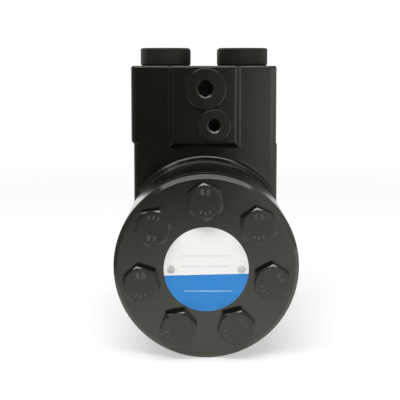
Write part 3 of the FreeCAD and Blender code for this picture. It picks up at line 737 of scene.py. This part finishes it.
# Geometry node trees
class Pattern(Nodes):
    """A Geometry Nodes tree that repeats a template on points and gives the result one material."""

    def __init__(self, name: str, inputs: dict[str, str]) -> None:
        """Makes the tree with its outer sockets.

        Args:
            name: name of the tree.
            inputs: type of each named input, apart from the points.
        """
        super().__init__(bpy.data.node_groups.new(name, "GeometryNodeTree"))
        outer = self.tree.interface
        self.sockets: dict[str, str] = {}
        for key, kind in {"Geometry": "NodeSocketGeometry", **inputs}.items():
            self.sockets[key] = outer.new_socket(name=key, in_out="INPUT", socket_type=kind).identifier
        outer.new_socket(name="Geometry", in_out="OUTPUT", socket_type="NodeSocketGeometry")
        self.start = self.add("NodeGroupInput").outputs
        self.end = self.add("NodeGroupOutput").inputs

    def attribute(self, name: str) -> Socket:
        """Number that each point carries under a name."""
        reader = self.add("GeometryNodeInputNamedAttribute", {"Name": name}, data_type="FLOAT")
        return reader.outputs["Attribute"]

    def run(self, name: str, mesh: bpy.types.Mesh, values: dict[str, object]) -> bpy.types.Object:
        """Runs the tree on a mesh and keeps the result as a plain piece.

        Args:
            name: name of the new piece.
            mesh: the points that the tree starts from.
            values: value of each named input.

        Returns:
            The new piece, with no modifier on it.
        """
        draft = new_piece(name + "_draft", mesh)
        modifier = draft.modifiers.new("pattern", "NODES")
        modifier.node_group = self.tree
        for key, value in values.items():
            modifier[self.sockets[key]] = value
        return new_piece(name, baked(draft, name))


def circle_pattern() -> Pattern:
    """Makes the tree that stands templates on a circle round the shaft, each with its own turn.

    Returns:
        The tree, with inputs for the template, the circle, the face and the finish.
    """
    pattern = Pattern("circle_of_copies", {
        "Template": "NodeSocketObject", "Circle Radius": "NodeSocketFloat",
        "Face Station": "NodeSocketFloat", "Finish": "NodeSocketMaterial"})
    start = pattern.start
    angle = pattern.attribute("angle")
    across, up = (pattern.calculate("MULTIPLY", pattern.calculate(wave, angle), start["Circle Radius"])
                  for wave in ("COSINE", "SINE"))
    place = pattern.add("ShaderNodeCombineXYZ", {"X": across, "Y": start["Face Station"], "Z": up})
    turn = pattern.calculate("MULTIPLY", pattern.attribute("turn"), -1.0)
    rotation = pattern.add("ShaderNodeCombineXYZ", {"Y": turn})
    points = pattern.add("GeometryNodeSetPosition", {
        "Geometry": start["Geometry"], "Position": place.outputs["Vector"]})
    template = pattern.add("GeometryNodeObjectInfo", {"Object": start["Template"]},
                           transform_space="ORIGINAL")
    copies = pattern.add("GeometryNodeInstanceOnPoints", {
        "Points": points.outputs["Geometry"], "Instance": template.outputs["Geometry"],
        "Rotation": rotation.outputs["Vector"]})
    real = pattern.add("GeometryNodeRealizeInstances", {"Geometry": copies.outputs["Instances"]})
    dressed = pattern.add("GeometryNodeSetMaterial", {
        "Geometry": real.outputs["Geometry"], "Material": start["Finish"]})
    pattern.feed(pattern.end["Geometry"], dressed.outputs["Geometry"])
    return pattern


def turned_points(name: str, angles: list[float], turns: list[float]) -> bpy.types.Mesh:
    """Loose points that carry the angle and the turn of each copy.

    Args:
        name: name of the mesh.
        angles: place of each copy round the shaft in degrees.
        turns: turn of each copy about its own axis in degrees.

    Returns:
        The mesh with its two attributes.
    """
    mesh = bpy.data.meshes.new(name)
    mesh.from_pydata([(0.0, 0.0, 0.0)] * len(angles), [], [])
    for key, values in (("angle", angles), ("turn", turns)):
        attribute = mesh.attributes.new(key, "FLOAT", "POINT")
        attribute.data.foreach_set("value", [math.radians(value) for value in values])
    return mesh


# Sub-assemblies
@dataclass
class FlangeStack:
    """Housing, distributor plate, gear ring and end cover, bolted face to face.

    Attributes:
        cast: nodes of painted cast iron.
        turned: nodes of painted turned steel.
    """

    cast: tuple[str, ...] = ("housing",)
    turned: tuple[str, ...] = ("distributor_plate", "gear_ring", "end_cover")

    def build(self, workshop: Workshop) -> None:
        """Dresses the casting and the flanges."""
        workshop.dress_nodes(self.cast, CASTING)
        workshop.dress_nodes(self.turned, TURNED)


class MarkStyle(Enum):
    """What the raised marks of a bolt head show."""

    NUMERALS = "8.8"
    BARS = "bars"


@dataclass
class CoverBolts:
    """Seven hexagon bolts on the end cover, with forged marks on their heads.

    Attributes:
        circle: radius of the bolt circle.
        first_angle: angle of the top bolt in degrees, from +X towards +Z.
        flats: width across the flats.
        height: height of a head.
        corner: radius on the corners of the hexagon.
        edge: width of the rounding on the edges of a head.
        rim: radius of the flat on top.
        chamfer_rise: drop of the chamfer for each unit outwards.
        half_side: angles of a head's points in degrees, from a corner to the middle of a side.
        shank: radius of the shank.
        shank_end: radius of its end.
        shank_chamfer: length of the chamfer on its end.
        shade_angle: angle in degrees over which an edge shows as sharp.
        head_turns: angle of a corner of each head in degrees, counted as the bolts are.
        mark_turns: angle of each head's marks in degrees.
        mark_rounding: radius on the edges of the marks.
        mark_thickness: thickness of the marks, from their foot inside the head.
        mark_proud: how far they stand out of the head.
        numeral_size: size of the numerals.
        numeral_height: distance of their middle over the head's middle.
        bar_size: width and length of a bar.
        bar_drop: distance of the bars below the head's middle.
        bar_swings: angle of each bar in degrees.
        pin_number: number of the bolt that carries the pin.
        pin_radius: radius of that pin.
        pin_edge: width of the chamfer on its end.
        pin_steps: number of faces round it.
    """

    circle: float = 33.3 * MM
    first_angle: float = 90.8
    flats: float = 16.8 * MM
    height: float = 6.4 * MM
    corner: float = 0.5 * MM
    edge: float = 0.16 * MM
    rim: float = 8.22 * MM
    chamfer_rise: float = 0.6
    half_side: tuple[float, ...] = (0.0, 0.7, 1.4, 2.0, 3.5, 6.0, 9.5, 14.0, 19.0, 24.5, 30.0)
    shank: float = 5.0 * MM
    shank_end: float = 4.25 * MM
    shank_chamfer: float = 0.8 * MM
    shade_angle: float = 25.0
    head_turns: tuple[float, ...] = (36.0, 8.0, 42.0, 10.0, 14.0, 28.0, 36.0)
    mark_turns: tuple[float, ...] = (0.0, 174.0, 0.0, -56.0, -56.0, -52.0, 0.0)
    mark_rounding: float = 0.08 * MM
    mark_thickness: float = 0.52 * MM
    mark_proud: float = 0.34 * MM
    numeral_size: float = 4.0 * MM
    numeral_height: float = 4.7 * MM
    bar_size: tuple[float, float] = (0.6 * MM, 1.8 * MM)
    bar_drop: float = 5.5 * MM
    bar_swings: tuple[float, ...] = (-24.0, 0.0, 24.0)
    pin_number: int = 3
    pin_radius: float = 2.0 * MM
    pin_edge: float = 0.3 * MM
    pin_steps: int = 24

    def hexagon_radius(self, degrees: float) -> float:
        """Distance from the middle of a head to its side.

        Args:
            degrees: the direction, as an angle from a corner.

        Returns:
            The distance in metres, with the corners rounded.
        """
        half = SIDE_ANGLE / 2
        off = abs((degrees + half) % SIDE_ANGLE - half)
        reach = (self.flats / 2 - self.corner) / math.cos(math.radians(half))
        sideways = reach * math.sin(math.radians(off))
        if sideways < self.corner / 2:
            return reach * math.cos(math.radians(off)) + math.sqrt(self.corner ** 2 - sideways ** 2)
        return self.flats / 2 / math.cos(math.radians(half - off))

    def chamfer_height(self, radius: float) -> float:
        """Height of the chamfer over the seat at a radius."""
        return self.height - (radius - self.rim) * self.chamfer_rise

    def depth(self, node: str) -> float:
        """Depth of a bolt's end under its head."""
        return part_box(node)[1].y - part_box("end_cover")[0].y

    def section(self, side: float, depth: float) -> Profile:
        """Section of a bolt where its side has a certain distance from the middle.

        Args:
            side: that distance.
            depth: depth of the shank's end under the head.

        Returns:
            Pairs of radius and height over the seat, from the shank's end to the middle of the top. The
            shares of the edge place the points of its roundings.
        """
        top = self.chamfer_height(side)
        slope = side - 1.2 * self.edge
        return [(self.shank_end, -depth), (self.shank, -depth + self.shank_chamfer), (self.shank, 0.0),
                (side - self.edge, 0.0), (side, self.edge), (side, top - self.edge),
                (side - 0.3 * self.edge, top - 0.1 * self.edge), (slope, self.chamfer_height(slope)),
                (self.rim + 0.5 * self.edge, self.height - 0.35 * self.edge),
                (self.rim - 0.7 * self.edge, self.height), (self.rim - 6 * self.edge, self.height)]

    def head_template(self) -> bpy.types.Object:
        """Makes one bolt with its head towards -Y, its seat at the origin.

        Returns:
            The template.
        """
        side = [*self.half_side, *(SIDE_ANGLE - angle for angle in reversed(self.half_side[1:-1]))]
        angles = [SIDE_ANGLE * k + angle for k in range(HEXAGON_SIDES) for angle in side]
        depth = self.depth("cover_bolts")
        sections = [self.section(self.hexagon_radius(angle), depth) for angle in angles]
        return new_piece("bolt_template", skin("bolt_template", angles, sections))

    def pin_template(self) -> bpy.types.Object:
        """Makes the pin on the end of the long bolt, placed from the head's seat as a bolt is.

        Returns:
            The template.
        """
        end = self.depth("pin_bolt")
        section = [(self.pin_radius - self.pin_edge, -end), (self.pin_radius, self.pin_edge - end),
                   (self.pin_radius, self.pin_edge - self.depth("cover_bolts"))]
        return new_piece("pin_template", turned_mesh("pin_template", section, self.pin_steps))

    def numerals(self, station: float) -> bpy.types.Mesh:
        """Makes the raised numerals of a head.

        Args:
            station: place of their middle along Y.

        Returns:
            Their mesh.
        """
        curve = bpy.data.curves.new("head_numerals", "FONT")
        curve.body = MarkStyle.NUMERALS.value
        curve.size = self.numeral_size
        curve.bevel_depth = self.mark_rounding
        curve.bevel_resolution = 1
        curve.offset = -self.mark_rounding / 2
        curve.extrude = self.mark_thickness / 2 - self.mark_rounding
        curve.resolution_u = 2
        curve.align_x = "CENTER"
        curve.align_y = "CENTER"
        mesh = baked(new_piece("numerals_draft", curve), "head_numerals")
        upright = Matrix.Rotation(math.radians(90.0), 4, "X")
        mesh.transform(Matrix.Translation((0.0, station, self.numeral_height)) @ upright)
        return mesh

    def bars(self, station: float) -> bpy.types.Mesh:
        """Makes the raised bars of a head.

        Args:
            station: place of their middle along Y.

        Returns:
            Their mesh.
        """
        width, length = self.bar_size
        size = Matrix.Diagonal((width, self.mark_thickness, length, 1.0))
        place = Matrix.Translation((0.0, station, -self.bar_drop))
        swings = [Matrix.Rotation(math.radians(degrees), 4, "Y") for degrees in self.bar_swings]
        return boxes_mesh("head_bars", [swing @ place @ size for swing in swings], self.mark_rounding)

    def mark_template(self, style: MarkStyle) -> bpy.types.Object:
        """Makes the raised marks on a head that faces -Y.

        Args:
            style: what the marks show.

        Returns:
            The template.
        """
        station = -(self.height + self.mark_proud - self.mark_thickness / 2)
        mesh = self.numerals(station) if style is MarkStyle.NUMERALS else self.bars(station)
        return new_piece(style.name.lower() + "_template", mesh)

    def bolt_set(self, name: str, pattern: Pattern, numbers: list[int],
                 layers: list[Layer]) -> bpy.types.Object:
        """Makes one piece from some of the bolts.

        Args:
            name: name of the piece.
            pattern: the tree that stands templates on the bolt circle.
            numbers: numbers of the bolts, counted round the circle.
            layers: each template with the turns of its copies on all bolts.

        Returns:
            The piece.
        """
        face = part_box("end_cover")[0].y
        angles = [self.first_angle + n * 360.0 / len(self.head_turns) for n in numbers]
        drafts = []
        for k, (template, turns) in enumerate(layers):
            points = turned_points(f"{name}_points_{k}", angles, [turns[n] for n in numbers])
            drafts.append(pattern.run(f"{name}_{k}", points, {
                "Template": template, "Circle Radius": self.circle, "Face Station": face,
                "Finish": template.data.materials[0]}))
        draft = joined(drafts, name + "_draft")
        shade_by_angle(draft.data, self.shade_angle)
        return flat_shaded(draft, name)

    def build(self, workshop: Workshop) -> None:
        """Makes the bolts and their marks, and stands them for the nodes.

        Args:
            workshop: maker of the finishes.
        """
        head = self.head_template()
        pin = self.pin_template()
        marks = [self.mark_template(style) for style in MarkStyle]
        for template in (head, pin):
            workshop.dress(template, BOLT_BLACK)
        # The raised marks get the painted highlight.
        for template in marks:
            workshop.dress(template, PAINTED_MARK_HIGHLIGHT)
        pattern = circle_pattern()
        plain = [k for k in range(len(self.head_turns)) if k != self.pin_number]
        layers = [(head, self.head_turns)] + [(mark, self.mark_turns) for mark in marks]
        piece = self.bolt_set("cover_bolt_set", pattern, plain, layers)
        stand_for(piece, "cover_bolts")
        layers.append((pin, self.head_turns))
        piece = self.bolt_set("pin_bolt_piece", pattern, [self.pin_number], layers)
        stand_for(piece, "pin_bolt")
        for template in (head, pin, *marks):
            bpy.data.objects.remove(template)


@dataclass(frozen=True)
class RuledLines:
    """Lines of one ink on the name plate.

    Attributes:
        name: name of their piece.
        ink: their finish.
        middles: middle of each line, across and over the shaft axis.
    """

    name: str
    ink: Finish
    middles: tuple[tuple[float, float], ...]


@dataclass
class NamePlate:
    """Round plate on the end cover with ruled lines, held by two rivets.

    Attributes:
        drop: distance of the rivets below the shaft axis.
        rivet_spacing: distance between the rivets.
        rivet_head: radius of a rivet head.
        rivet_side: height of its straight side.
        rivet_rise: height of its dome.
        rivet_shank: radius of a rivet's shank.
        rivet_length: length of the shank.
        rivet_steps: number of faces round a rivet.
        dome_angles: angles of the dome's points in degrees, from its foot up.
        shade_angle: angle in degrees over which an edge shows as sharp.
        lines: the ruled lines.
        line_length: length of a line.
        line_height: height of a line.
        line_depth: thickness of the ink.
    """

    drop: float = 1.0 * MM
    rivet_spacing: float = 35.0 * MM
    rivet_head: float = 1.9 * MM
    rivet_side: float = 0.1 * MM
    rivet_rise: float = 0.4 * MM
    rivet_shank: float = 1.2 * MM
    rivet_length: float = 6.0 * MM
    rivet_steps: int = 28
    dome_angles: tuple[float, ...] = (0.0, 18.0, 36.0, 54.0, 72.0, 86.0)
    shade_angle: float = 50.0
    lines: tuple[RuledLines, ...] = (
        RuledLines("ruled_lines_blue", INK, ((-0.5 * MM, 5.8 * MM), (-0.5 * MM, 0.5 * MM))),
        RuledLines("ruled_lines_white", WHITE_INK, ((1.0 * MM, -11.9 * MM),)))
    line_length: float = 24.0 * MM
    line_height: float = 0.22 * MM
    line_depth: float = 0.02 * MM

    def rivet_template(self) -> bpy.types.Object:
        """Makes one domed rivet head towards -Y, with its shank.

        Returns:
            The template.
        """
        section = [(self.rivet_shank, -self.rivet_length), (self.rivet_shank, 0.0), (self.rivet_head, 0.0)]
        section += [(self.rivet_head * math.cos(math.radians(angle)),
                     self.rivet_rise * math.sin(math.radians(angle)) + self.rivet_side)
                    for angle in self.dome_angles]
        return new_piece("rivet_template", turned_mesh("rivet_template", section, self.rivet_steps))

    def build_rivets(self, workshop: Workshop) -> None:
        """Makes the two rivets on the plate.

        Args:
            workshop: maker of the finishes.
        """
        template = self.rivet_template()
        workshop.dress(template, RIVET)
        reach = math.hypot(self.rivet_spacing / 2, self.drop)
        below = math.degrees(math.atan2(self.drop, self.rivet_spacing / 2))
        points = turned_points("rivet_points", [-below, 180.0 + below], [0.0, 0.0])
        piece = circle_pattern().run("plate_rivet_pair", points, {
            "Template": template, "Circle Radius": reach, "Face Station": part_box("name_plate")[0].y,
            "Finish": workshop.material(RIVET)})
        bpy.data.objects.remove(template)
        shade_by_angle(piece.data, self.shade_angle)
        stand_for(piece, "plate_rivets")

    def build_lines(self, workshop: Workshop) -> None:
        """Makes the ruled lines as a thin layer of ink.

        Args:
            workshop: maker of the finishes.
        """
        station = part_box("name_plate")[0].y - self.line_depth / 2
        size = Matrix.Diagonal((self.line_length, self.line_depth, self.line_height, 1.0))
        for lines in self.lines:
            places = [Matrix.Translation((across, station, height)) @ size
                      for across, height in lines.middles]
            piece = new_piece(lines.name, boxes_mesh("ruled_lines", places))
            workshop.dress(piece, lines.ink)
            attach(piece, HOUSING_BODY)
            log.info("piece %s", piece.name)

    def build(self, workshop: Workshop) -> None:
        """Dresses the plate and makes its rivets and lines.

        Args:
            workshop: maker of the finishes.
        """
        workshop.dress_nodes(("name_plate",), PLATE)
        self.build_rivets(workshop)
        self.build_lines(workshop)


@dataclass
class Plugs:
    """Transport plugs in the ports and the two socket plugs of the valves.

    Attributes:
        ports: names of the ports.
        cap_edge: width of the rounding on the plastic plugs.
        valves: names of the valves under the steel plugs.
        collar_edge: width of the rounding on the steel collars.
        key_reach: radius within which a steel plug's faces belong to its socket.
        mouth: depth of a socket's mouth.
        mouth_slopes: limits of the share of Y in the direction of the mouth's slanted faces.
        foot: how far below the middle the mouth gets its painted highlight, as a share of the distance from
            it.
    """

    ports: tuple[str, ...] = ("pressure", "tank", "left", "right")
    cap_edge: float = 0.35 * MM
    valves: tuple[str, ...] = ("relief", "inlet")
    collar_edge: float = 0.3 * MM
    key_reach: float = 5.0 * MM
    mouth: float = 1.0 * MM
    mouth_slopes: tuple[float, float] = (0.4, 0.95)
    foot: float = 0.15

    def build(self, workshop: Workshop) -> None:
        """Makes rounded copies of the plugs and stands them for the nodes.

        Args:
            workshop: maker of the finishes.
        """
        for port in self.ports:
            node = "port_plug_" + port
            piece = bevelled_copy(node, "cap_" + port, self.cap_edge)
            workshop.dress(piece, CAP_PLASTIC)
            stand_for(piece, node)
        for valve in self.valves:
            node = valve + "_plug"
            piece = bevelled_copy(node, node + "_piece", self.collar_edge)
            # Plain black steel, painted shade deep in the socket, painted highlight at the foot of its mouth.
            workshop.dress(piece, PLUG_BLACK, SOCKET_PAINTED_SHADE, SOCKET_MOUTH_HIGHLIGHT)
            self.paint_socket_shade_and_highlight(piece, node)
            stand_for(piece, node)

    def paint_socket_shade_and_highlight(self, piece: bpy.types.Object, node: str) -> None:
        """Gives the deep faces of a plug's socket painted shade and the foot of its mouth a painted highlight
        of bright metal.

        Args:
            piece: the rounded copy of the plug, with its three finishes.
            node: the plug's node.
        """
        low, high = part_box(node)
        middle = Vector(((low.x + high.x) / 2, (low.z + high.z) / 2))
        least, most = self.mouth_slopes
        for face in piece.data.polygons:
            away = (Vector((face.center.x, face.center.z)) - middle).length
            if away > self.key_reach:
                continue
            # Deep faces of the socket: painted shade.
            if face.center.y > low.y + self.mouth:
                face.material_index = 1
            # Slanted faces below the middle of the mouth: painted highlight.
            elif least < abs(face.normal.y) < most and face.center.z < middle.y - self.foot * away:
                face.material_index = 2


@dataclass
class InnerWorks:
    """Valve, gear set, bearing, seals and valve parts inside, each with its own finish.

    Attributes:
        ground: nodes of ground steel.
        hard: nodes of hardened and polished steel.
        springs: nodes of flat spring steel.
        rubber: nodes of rubber.
        coils: each coil spring's node with the joint that presses it.
        lift: travel of those joints; not used.
        shade_angle: angle in degrees over which an edge of a coil shows as sharp.
    """

    ground: tuple[str, ...] = ("rotor", "link_spacer", "drive_link", "sleeve", "spool", "cross_pin",
                               "bearing_cage", "relief_screw", "relief_poppet", "relief_seat",
                               "inlet_seat", "ball_seat")
    hard: tuple[str, ...] = ("bearing_race_outer", "bearing_race_inner", "bearing_needles", "inlet_ball",
                             "emergency_ball")
    springs: tuple[str, ...] = ("centering_springs", "spring_ring")
    rubber: tuple[str, ...] = ("seal_housing", "seal_ring_front", "seal_ring_rear", "dust_seal",
                               "shaft_seal")
    coils: tuple[tuple[str, str], ...] = (("relief_spring", "relief_lift"), ("inlet_spring", "inlet_lift"))
    lift: float = 1.5 * MM
    shade_angle: float = 40.0

    def build_coils(self, workshop: Workshop) -> None:
        """Stands a copy in for each coil spring.

        Args:
            workshop: maker of the finishes.
        """
        for node, joint in self.coils:
            mesh = merged_copy(node)
            shade_by_angle(mesh, self.shade_angle)
            piece = new_piece(node + "_piece", mesh)
            workshop.dress(piece, SPRING)
            stand_for(piece, node)
            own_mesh(piece)
            log.info("piece %s shortens with %s", piece.name, joint)

    def build(self, workshop: Workshop) -> None:
        """Makes the coil springs and dresses the inner nodes.

        Args:
            workshop: maker of the finishes.
        """
        self.build_coils(workshop)
        workshop.dress_nodes(self.ground, GROUND)
        workshop.dress_nodes(self.hard, HARD)
        workshop.dress_nodes(self.springs, SPRING)
        workshop.dress_nodes(self.rubber, RUBBER)


# Studio
@dataclass(frozen=True)
class Lamp:
    """A soft rectangular lamp.

    Attributes:
        name: name of the lamp.
        place: where it stands.
        size: its width and height.
        power: its power in watts.
        aim: the point it faces.
    """

    name: str
    place: tuple[float, float, float]
    size: tuple[float, float]
    power: float
    aim: tuple[float, float, float] = (0.0, -0.1, 0.0)

    def build(self) -> None:
        """Hangs the lamp."""
        data = bpy.data.lights.new(self.name, "AREA")
        data.shape = "RECTANGLE"
        data.size, data.size_y = self.size
        data.energy = self.power
        lamp = bpy.data.objects.new(self.name, data)
        lamp.location = self.place
        lamp.rotation_euler = (Vector(self.aim) - Vector(self.place)).to_track_quat("-Z", "Y").to_euler()
        lamp.visible_camera = False
        bpy.context.scene.collection.objects.link(lamp)


@dataclass(frozen=True)
class Ramp:
    """Smooth change of a brightness or a share.

    Attributes:
        measure: what it follows: X, Y, Z or Distance.
        start: where it starts.
        end: where it ends.
        low: value up to the start.
        high: value from the end on.
    """

    measure: str
    start: float
    end: float
    low: float
    high: float


class Backdrop(Nodes):
    """Node tree of the room or the sheet, whose brightness differs by place and by kind of ray."""

    def __init__(self, tree: bpy.types.NodeTree, place: Socket) -> None:
        """Adds what the ramps follow and the node that knows the kind of each ray.

        Args:
            tree: the tree.
            place: the place on the sheet, or the direction in the room.
        """
        super().__init__(tree)
        split = self.add("ShaderNodeSeparateXYZ", {"Vector": place}).outputs
        length = self.add("ShaderNodeVectorMath", operation="LENGTH")
        self.feed(length.inputs[0], place)
        self.measures = {"X": split["X"], "Y": split["Y"], "Z": split["Z"],
                         "Distance": length.outputs["Value"]}
        self.rays = self.add("ShaderNodeLightPath").outputs

    def ramp(self, ramp: Ramp) -> Socket:
        """Value of a ramp, as a socket of the tree."""
        return self.spread(self.measures[ramp.measure], ramp.low, ramp.high, ramp.start, ramp.end,
                           change="SMOOTHSTEP")

    def combined(self, operation: str, *values: Ramp | Socket) -> Socket:
        """Puts several values together.

        Args:
            operation: MULTIPLY for their product, MAXIMUM for the largest.
            *values: ramps and sockets of the tree.

        Returns:
            The result.
        """
        result, *others = [self.ramp(value) if isinstance(value, Ramp) else value for value in values]
        for other in others:
            result = self.calculate(operation, result, other)
        return result

    def by_ray(self, kind: str, other: Socket | float, this: Socket | float) -> Socket:
        """Chooses a value by the kind of ray.

        Args:
            kind: name of the ray's output.
            other: value for all other rays.
            this: value for rays of this kind.

        Returns:
            The chosen value.
        """
        mix = self.add("ShaderNodeMix", {"Factor": self.rays[kind], "A": other, "B": this})
        return mix.outputs["Result"]


@dataclass
class Studio:
    """White paper sheet in a room that is dark behind the camera, with two soft lamps.

    The ramps give the brightness that gloss shows. Those of the room follow the parts of a direction, those
    of the sheet follow places in metres.

    Attributes:
        lamps: the lamps.
        ambient: strength of the light from all round.
        dark: brightness of the room behind the camera.
        right_share: share of the light behind the part that is left on the right.
        room_behind: the room behind the part.
        room_behind_right: share of it that is left on the right.
        right_wall: the room on the right.
        left_wall: the room on the left.
        table_right: the white table on the right.
        table_height: share of the table that is left upwards.
        table_depth: share of the table that is left away from the camera.
        sheet_end: where the sheet ends towards the camera.
        sheet_half: half of the sheet's width.
        floor_level: height of the sheet.
        paper: the two colours of the sheet.
        fibre: size of the paper's fibres.
        sheet_front: the sheet towards the camera.
        sheet_right: the sheet on the right.
        sheet_left: share of the sheet that is left on the left.
        sheet_behind: share of it that is there again behind the part.
        far_right: share of the sheet that is left on the right.
        far_right_near: share of it that is there again near the camera.
        seen_glow: share of the sheet's white that no shadow darkens, as the camera sees it.
        shown_glow: the same share, as gloss shows it.
    """

    lamps: tuple[Lamp, ...] = (Lamp("overhead_softbox", (0.0, -0.05, 1.1), (1.5, 0.8), 6.5),
                               Lamp("front_softbox", (-0.12, -0.85, 1.03), (1.2, 0.45), 12.5))
    ambient: float = 0.5
    dark: float = 0.02
    right_share: float = 0.45
    room_behind: Ramp = Ramp("Y", 0.0, 0.3, dark, 1.0)
    room_behind_right: Ramp = Ramp("X", 0.06, 0.14, 1.0, right_share)
    right_wall: Ramp = Ramp("X", 0.3, 0.6, dark, 0.65)
    left_wall: Ramp = Ramp("X", -0.3, -0.5, dark, 0.22)
    table_right: Ramp = Ramp("X", 0.025, 0.075, 0.0, 1.75)
    table_height: Ramp = Ramp("Z", 0.01, 0.05, 1.0, 0.0)
    table_depth: Ramp = Ramp("Y", 0.0, 0.5, 1.0, 0.0)
    sheet_end: float = -1.1
    sheet_half: float = 4.0
    floor_level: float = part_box("end_cover")[0].z
    paper: tuple[Colour, Colour] = ((0.92, 0.92, 0.92), (0.94, 0.94, 0.94))
    fibre: float = 4 * MM
    sheet_front: Ramp = Ramp("Y", sheet_end, -0.35, dark, 1.0)
    sheet_right: Ramp = Ramp("X", 0.02, 0.09, dark, 1.1)
    sheet_left: Ramp = Ramp("X", -0.22, 0.02, 0.25, 1.0)
    sheet_behind: Ramp = Ramp("Y", 0.1, 0.5, 0.0, 1.0)
    far_right: Ramp = Ramp("X", 0.06, 0.2, 1.0, right_share)
    far_right_near: Ramp = Ramp("Y", 0.1, 0.4, 1.0, 0.0)
    seen_glow: Ramp = Ramp("Distance", 0.2, 1.0, 0.5, 1.0)
    shown_glow: Ramp = Ramp("Distance", 0.2, 0.4, 0.5, 1.0)

    def build_world(self) -> None:
        """Makes the room: white for the camera, and for gloss dark in front and white behind."""
        world = bpy.data.worlds.new("white_room")
        bpy.context.scene.world = world
        world.use_nodes = True
        tree = world.node_tree
        room = Backdrop(tree, tree.nodes.new("ShaderNodeTexCoord").outputs["Generated"])
        behind = room.combined("MULTIPLY", self.room_behind, self.room_behind_right)
        table = room.combined("MULTIPLY", self.table_right, self.table_height, self.table_depth)
        shown = room.combined("MAXIMUM", behind, self.right_wall, self.left_wall, table)
        strength = room.by_ray("Is Glossy Ray", self.ambient, shown)
        for kind in ("Is Camera Ray", "Is Transmission Ray"):
            strength = room.by_ray(kind, strength, 1.0)
        background = tree.nodes["Background"].inputs
        background["Color"].default_value = (1.0, 1.0, 1.0, 1.0)
        room.feed(background["Strength"], strength)

    def sheet_mesh(self) -> bpy.types.Mesh:
        """Makes the sheet's mesh.

        Returns:
            A flat mesh at the height of the floor.
        """
        left, right, back = -self.sheet_half, self.sheet_half, self.sheet_half
        corners = ((left, self.sheet_end), (right, self.sheet_end), (right, back), (left, back))
        mesh = bpy.data.meshes.new("paper_sheet")
        mesh.from_pydata([(x, y, self.floor_level) for x, y in corners], [], [(0, 1, 2, 3)])
        return mesh

    def build_sheet(self) -> None:
        """Makes the white sheet, which keeps the shadow of the part."""
        graph = Graph("white_paper", {"Roughness": 0.9, "Specular IOR Level": 0.1})
        fibres = graph.noise(self.fibre, detail=3.0)
        graph.feed(graph.shader.inputs["Base Color"], graph.tint(fibres, *self.paper))
        paper = Backdrop(graph.tree, graph.place)
        lit = paper.combined("MULTIPLY", paper.combined("MAXIMUM", self.sheet_front, self.sheet_right),
                             paper.combined("MAXIMUM", self.sheet_left, self.sheet_behind),
                             paper.combined("MAXIMUM", self.far_right, self.far_right_near))
        share = paper.by_ray("Is Camera Ray", 0.0, paper.ramp(self.seen_glow))
        share = paper.by_ray("Is Glossy Ray", share, paper.ramp(self.shown_glow))
        glow = paper.add("ShaderNodeEmission", {"Strength": paper.by_ray("Is Glossy Ray", 1.0, lit)})
        blend = paper.add("ShaderNodeMixShader", {"Fac": share})
        paper.feed(blend.inputs[1], graph.shader.outputs["BSDF"])
        paper.feed(blend.inputs[2], glow.outputs["Emission"])
        paper.feed(graph.tree.nodes["Material Output"].inputs["Surface"], blend.outputs["Shader"])
        sheet = new_piece("paper_sheet", self.sheet_mesh())
        sheet.data.materials.append(graph.material)

    def build(self) -> None:
        """Builds the whole studio."""
        self.build_world()
        self.build_sheet()
        for lamp in self.lamps:
            lamp.build()


@dataclass
class PhotoCamera:
    """Camera that stands where the photographer stood.

    Attributes:
        across: its place across.
        distance: its distance from the end cover's face.
        height: its height over the shaft axis.
        pitch: how far it looks down, in degrees.
        focal: focal length in pixels of the photograph.
        side: side of the square photograph in pixels.
        sensor: width of the sensor in millimetres.
        near: distance from which it sees things.
    """

    across: float = -3.1 * MM
    distance: float = 550.8 * MM
    height: float = 99.84 * MM
    pitch: float = 6.85
    focal: float = 1125.3
    side: int = 400
    sensor: float = 36.0
    near: float = 10 * MM

    def build(self) -> None:
        """Sets up the camera and the plain view."""
        data = bpy.data.cameras.new("photo_camera")
        data.sensor_width = self.sensor
        data.lens = self.sensor * self.focal / self.side
        data.clip_start = self.near
        camera = bpy.data.objects.new("photo_camera", data)
        camera.location = (self.across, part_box("end_cover")[0].y - self.distance, self.height)
        camera.rotation_euler = (math.radians(90.0 - self.pitch), 0.0, 0.0)
        bpy.context.scene.collection.objects.link(camera)
        bpy.context.scene.camera = camera
        bpy.context.scene.view_settings.view_transform = "Standard"


def main() -> None:
    """Builds the looks, the studio and the camera."""
    logging.basicConfig(level=logging.INFO, format="%(message)s")
    workshop = Workshop()
    PhotoCamera().build()
    Studio().build()
    for part in (FlangeStack(), CoverBolts(), NamePlate(), Plugs(), InnerWorks()):
        part.build(workshop)


if __name__ == "__main__":
    main()
